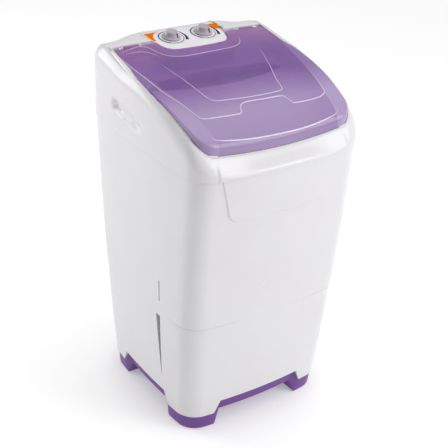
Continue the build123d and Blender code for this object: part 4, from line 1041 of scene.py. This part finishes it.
bm = bmesh.new()
rings = []
for grow in (-3 * MM, panel_lap):
    rings.append(lifted(whole(plate_plan(grow)), lambda spot: panel_z(spot, panel_thick)))
for angle in quarter(6):
    ring = whole(plate_plan(panel_lap - panel_round * (1 - math.cos(angle))))
    rings.append(lifted(ring, lambda spot: panel_z(spot, panel_round * (1 - math.sin(angle)))))
closed_skin(bm, rings)
piece("panel_plate", bm, panel_plastic, "machine", "control_panel")

navy_print = moulded(
    "navy_print", (0.02, 0.012, 0.09), (0.03, 0.018, 0.11), 0.45, 0.00001, Specular_IOR_Level=0.1
)
grey_print = moulded("grey_print", (0.22, 0.20, 0.25), (0.26, 0.24, 0.29), 0.5, 0.00001)
orange_print = moulded(
    "orange_print", (0.80, 0.18, 0.0), (0.84, 0.20, 0.0), 0.7, 0.00001, Specular_IOR_Level=0.0
)
knob_x, knob_y = 48, 176.7
knob_spots = (MM * complex(-knob_x, knob_y), MM * complex(knob_x, knob_y))
print_sunk, print_rise = 0.1 * MM, 0.25 * MM


def printed(bm, outline):
    """A thin raised print on the panel with the outline given as plan spots."""
    made = bmesh.ops.create_circle(bm, cap_ends=True, segments=len(outline), radius=1)["verts"]
    for vertex, spot in zip(made, outline):
        vertex.co = (spot.real, spot.imag, panel_z(spot, print_sunk))
    face = made[0].link_faces[0]
    raised = bmesh.ops.extrude_face_region(bm, geom=[face])["geom"]
    for item in raised:
        if isinstance(item, bmesh.types.BMVert):
            item.co.z += print_rise
    bmesh.ops.triangulate(bm, faces=[item for item in bm.faces if len(item.verts) > 4])


def band(centre, radius, start, end, width_start, width_end, count=40):
    """Outline of a curved band from one angle to another, in degrees, with its own two widths."""
    outer, inner = [], []
    for step in range(count + 1):
        share = step / count
        angle = math.radians(start + (end - start) * share)
        half = (width_start + (width_end - width_start) * share) * MM / 2
        outer.append(centre + (radius * MM + half) * cmath.exp(1j * angle))
        inner.append(centre + (radius * MM - half) * cmath.exp(1j * angle))
    return outer + inner[::-1]


navy, pale_grey, orange = bmesh.new(), bmesh.new(), bmesh.new()
ring_radius, arc_radius, tick_radius = 32.5, 41, 38
tick_count, tick_first, tick_apart = 7, 258, 10
for centre in knob_spots:
    printed(navy, band(centre, ring_radius, 80, 236, 2.0, 4.4))
    printed(pale_grey, band(centre, ring_radius, 236, 440, 3.4, 1.6))
    printed(navy, band(centre, arc_radius, 38, -34, 2.4, 8.6))
    for tick in range(tick_count):
        start = tick_first + tick * tick_apart
        printed(pale_grey, band(centre, tick_radius, start, start + 1.6, 2.6, 2.6, 2))


def oval_edge(x, wide, deep, first, turn, steps):
    """Spots of the wedges' hollow edge: an oval round a knob, from one angle on in steps of a turn."""
    angles = [math.radians(first + step * turn) for step in range(steps)]
    return [complex(x + wide * math.cos(a), knob_y + deep * math.sin(a)) for a in angles]


wedge_rear = 213.5
left_wedge = [complex(-111.5, wedge_rear), complex(-104, 180), complex(-100.5, 168.5)]
left_wedge += oval_edge(-knob_x, 47, 42, 186, -6, 11) + [complex(-62, wedge_rear)]
right_wedge = [complex(112, wedge_rear), complex(90, wedge_rear)]
right_wedge += oval_edge(knob_x, 44, 41, 66, -6, 10) + [complex(104.5, 180)]
for wedge in (left_wedge, right_wedge):
    printed(orange, [MM * spot for spot in wedge])
piece("print_navy", navy, navy_print, "machine")
piece("print_grey", pale_grey, grey_print, "machine")
piece("print_orange", orange, orange_print, "machine")

# Knobs
# Two silver-grey moulded knobs, each a flared cone with a flat top, a rolled foot and a dark pointer,
# pressed onto the spindle of its switch.
knob_look = moulded(
    "knob_plastic", (0.38, 0.33, 0.39), (0.45, 0.40, 0.46), 0.24, 0.00003, Coat_Weight=0.5
)
pointer_look = moulded("pointer_plastic", (0.05, 0.04, 0.07), (0.07, 0.055, 0.09), 0.35, 0.00002)
# Radius and height of the knob's outline from the middle of its top to its foot, in mm.
knob_profile = (
    (0, 17.2), (11.4, 17.2), (12.6, 17.7), (13.8, 17.8), (14.7, 17.2), (15.1, 16.2), (15.6, 14.2),
    (16.5, 11), (18.2, 7.8), (20.6, 5.2), (23, 3.8), (24.2, 3.1), (24.6, 2.4), (24.4, 1.5),
    (23.6, 0.9), (0, 0.9),
)
flutes, flute_depth = 16, 0.5 * MM
flute_inner, flute_outer, flute_low = 15.3 * MM, 22 * MM, 4 * MM
pointer_aim, pointer_lean = math.radians(-64), math.radians(-24)
pointer_size = (2.6, 3.4, 13)


def on_knob(centre):
    """Placement of a knob that is built upright over the origin."""
    tilt = Matrix.Rotation(panel_angle, 4, "X")
    return Matrix.Translation((centre.real, centre.imag, panel_z(centre))) @ tilt


for body, centre in zip(("timer", "selector"), knob_spots):
    bm = bmesh.new()
    verts = [bm.verts.new((radius * MM, 0, height * MM)) for radius, height in knob_profile]
    edges = [bm.edges.new(pair) for pair in zip(verts, verts[1:])]
    bmesh.ops.spin(
        bm, geom=verts + edges, cent=(0, 0, 0), axis=(0, 0, 1), angle=math.tau, steps=96, use_merge=True
    )
    bmesh.ops.remove_doubles(bm, verts=bm.verts, dist=1e-6)
    for vertex in bm.verts:
        radius = math.hypot(vertex.co.x, vertex.co.y)
        if flute_inner < radius < flute_outer and vertex.co.z > flute_low:
            turn = math.atan2(vertex.co.y, vertex.co.x)
            depth = flute_depth * (0.5 - 0.5 * math.cos(turn * flutes)) ** 2
            vertex.co.x *= 1 - depth / radius
            vertex.co.y *= 1 - depth / radius
    bmesh.ops.transform(bm, matrix=on_knob(centre), verts=bm.verts)
    piece(body + "_dial", bm, knob_look, body, body + "_knob", sharp=50)
    bm = bmesh.new()
    lean = Matrix.Rotation(pointer_aim, 4, "Z") @ Matrix.Translation((17.2 * MM, 0, 10.5 * MM))
    lean = lean @ Matrix.Rotation(pointer_lean, 4, "Y")
    scale = Matrix.Diagonal([side * MM for side in pointer_size] + [1])
    bmesh.ops.create_cube(bm, matrix=on_knob(centre) @ lean @ scale)
    soften(bm, bm.edges, 0.6, 3)
    piece(body + "_dial_pointer", bm, pointer_look, body)

# Inside and drive
# Behind the plastic walls are the impeller on its shaft, the belt and pulleys, the motor on its
# bracket, the switches, the drain and all fasteners.
grey_plastic = moulded("grey_plastic", (0.36, 0.34, 0.39), (0.42, 0.40, 0.45), 0.34)
plated_steel = moulded("plated_steel", (0.55, 0.55, 0.56), (0.66, 0.66, 0.67), 0.3, Metallic=1.0)
dress(grey_plastic, "impeller", "drain_pipe", "wash_timer", "selector_switch", "motor_fan", "capacitor")
dress(
    plated_steel, "cover_screws", "base_screws", "panel_screws", "housing_screws", "bracket_screws",
    "motor_screws", "impeller_screw", "impeller_shaft", "hinge_pins", "timer_spindle", "selector_spindle",
    "bearing_housing", "upper_bush", "lower_bush", "drive_pulley", "pulley_nut", "motor_pulley",
    "motor_rotor", "motor_stator", "motor_lower_bell", "motor_upper_bell", "motor_bracket",
    "capacitor_clip", "drain_clamp",
)

# Floor and light
# A pale floor that reads as white, a white surround that is darker at the front left and the rear,
# and two large soft lamps, at the rear left and the front right.
bm = bmesh.new()
bmesh.ops.create_grid(bm, x_segments=4, y_segments=4, size=12)
floor_mesh = bpy.data.meshes.new("floor")
bm.to_mesh(floor_mesh)
bm.free()
floor = bpy.data.objects.new("floor", floor_mesh)
bpy.context.scene.collection.objects.link(floor)
floor_look = Finish(
    "floor_white", Base_Color=(0.78, 0.78, 0.78, 1), Roughness=0.95, Specular_IOR_Level=0.0,
    Emission_Color=(1, 1, 1, 1), Emission_Strength=0.3,
)
floor.data.materials.append(floor_look.material)

world = bpy.data.worlds.new("studio")
bpy.context.scene.world = world
world.use_nodes = True
sky = world.node_tree
ray_way = sky.nodes.new("ShaderNodeTexCoord")
parts = sky.nodes.new("ShaderNodeSeparateXYZ")
sky.links.new(ray_way.outputs["Generated"], parts.inputs[0])
east, north, height = (Field(sky, socket) for socket in parts.outputs)
shade_side = (east * -0.90 + north * -0.43).maths("MAXIMUM", 0.0)
shade_rear = north.maths("MAXIMUM", 0.0) * 0.45
horizon = (1 - height.maths("ABSOLUTE") * 6.0).maths("MAXIMUM", 0.0)
shade = 1 - shade_side * 0.95 - shade_rear
glow = (height.maths("MAXIMUM", 0.0) * 0.86 + 0.53) * shade + horizon * 0.5
join(sky, sky.nodes["Background"].inputs["Strength"], glow)
sky.nodes["Background"].inputs["Color"].default_value = (1, 1, 1, 1)


def softbox(name, place, target, size, radiance):
    """Large soft lamp that looks at a target."""
    light = bpy.data.lights.new(name, "AREA")
    light.shape = "RECTANGLE"
    light.size, light.size_y = size
    light.energy = radiance * math.pi * size[0] * size[1]
    holder = bpy.data.objects.new(name, light)
    bpy.context.scene.collection.objects.link(holder)
    holder.location = place
    holder.rotation_euler = (Vector(target) - Vector(place)).to_track_quat("-Z", "Y").to_euler()


softbox("left", (-1.9, 2.5, 1.3), (0, 0, 0.5), (1.4, 1.9), 4.4)
softbox("right", (1.7, -2.4, 2.2), (0, 0, 0.6), (1.3, 1.5), 4.6)
bpy.context.scene.view_settings.view_transform = "Standard"
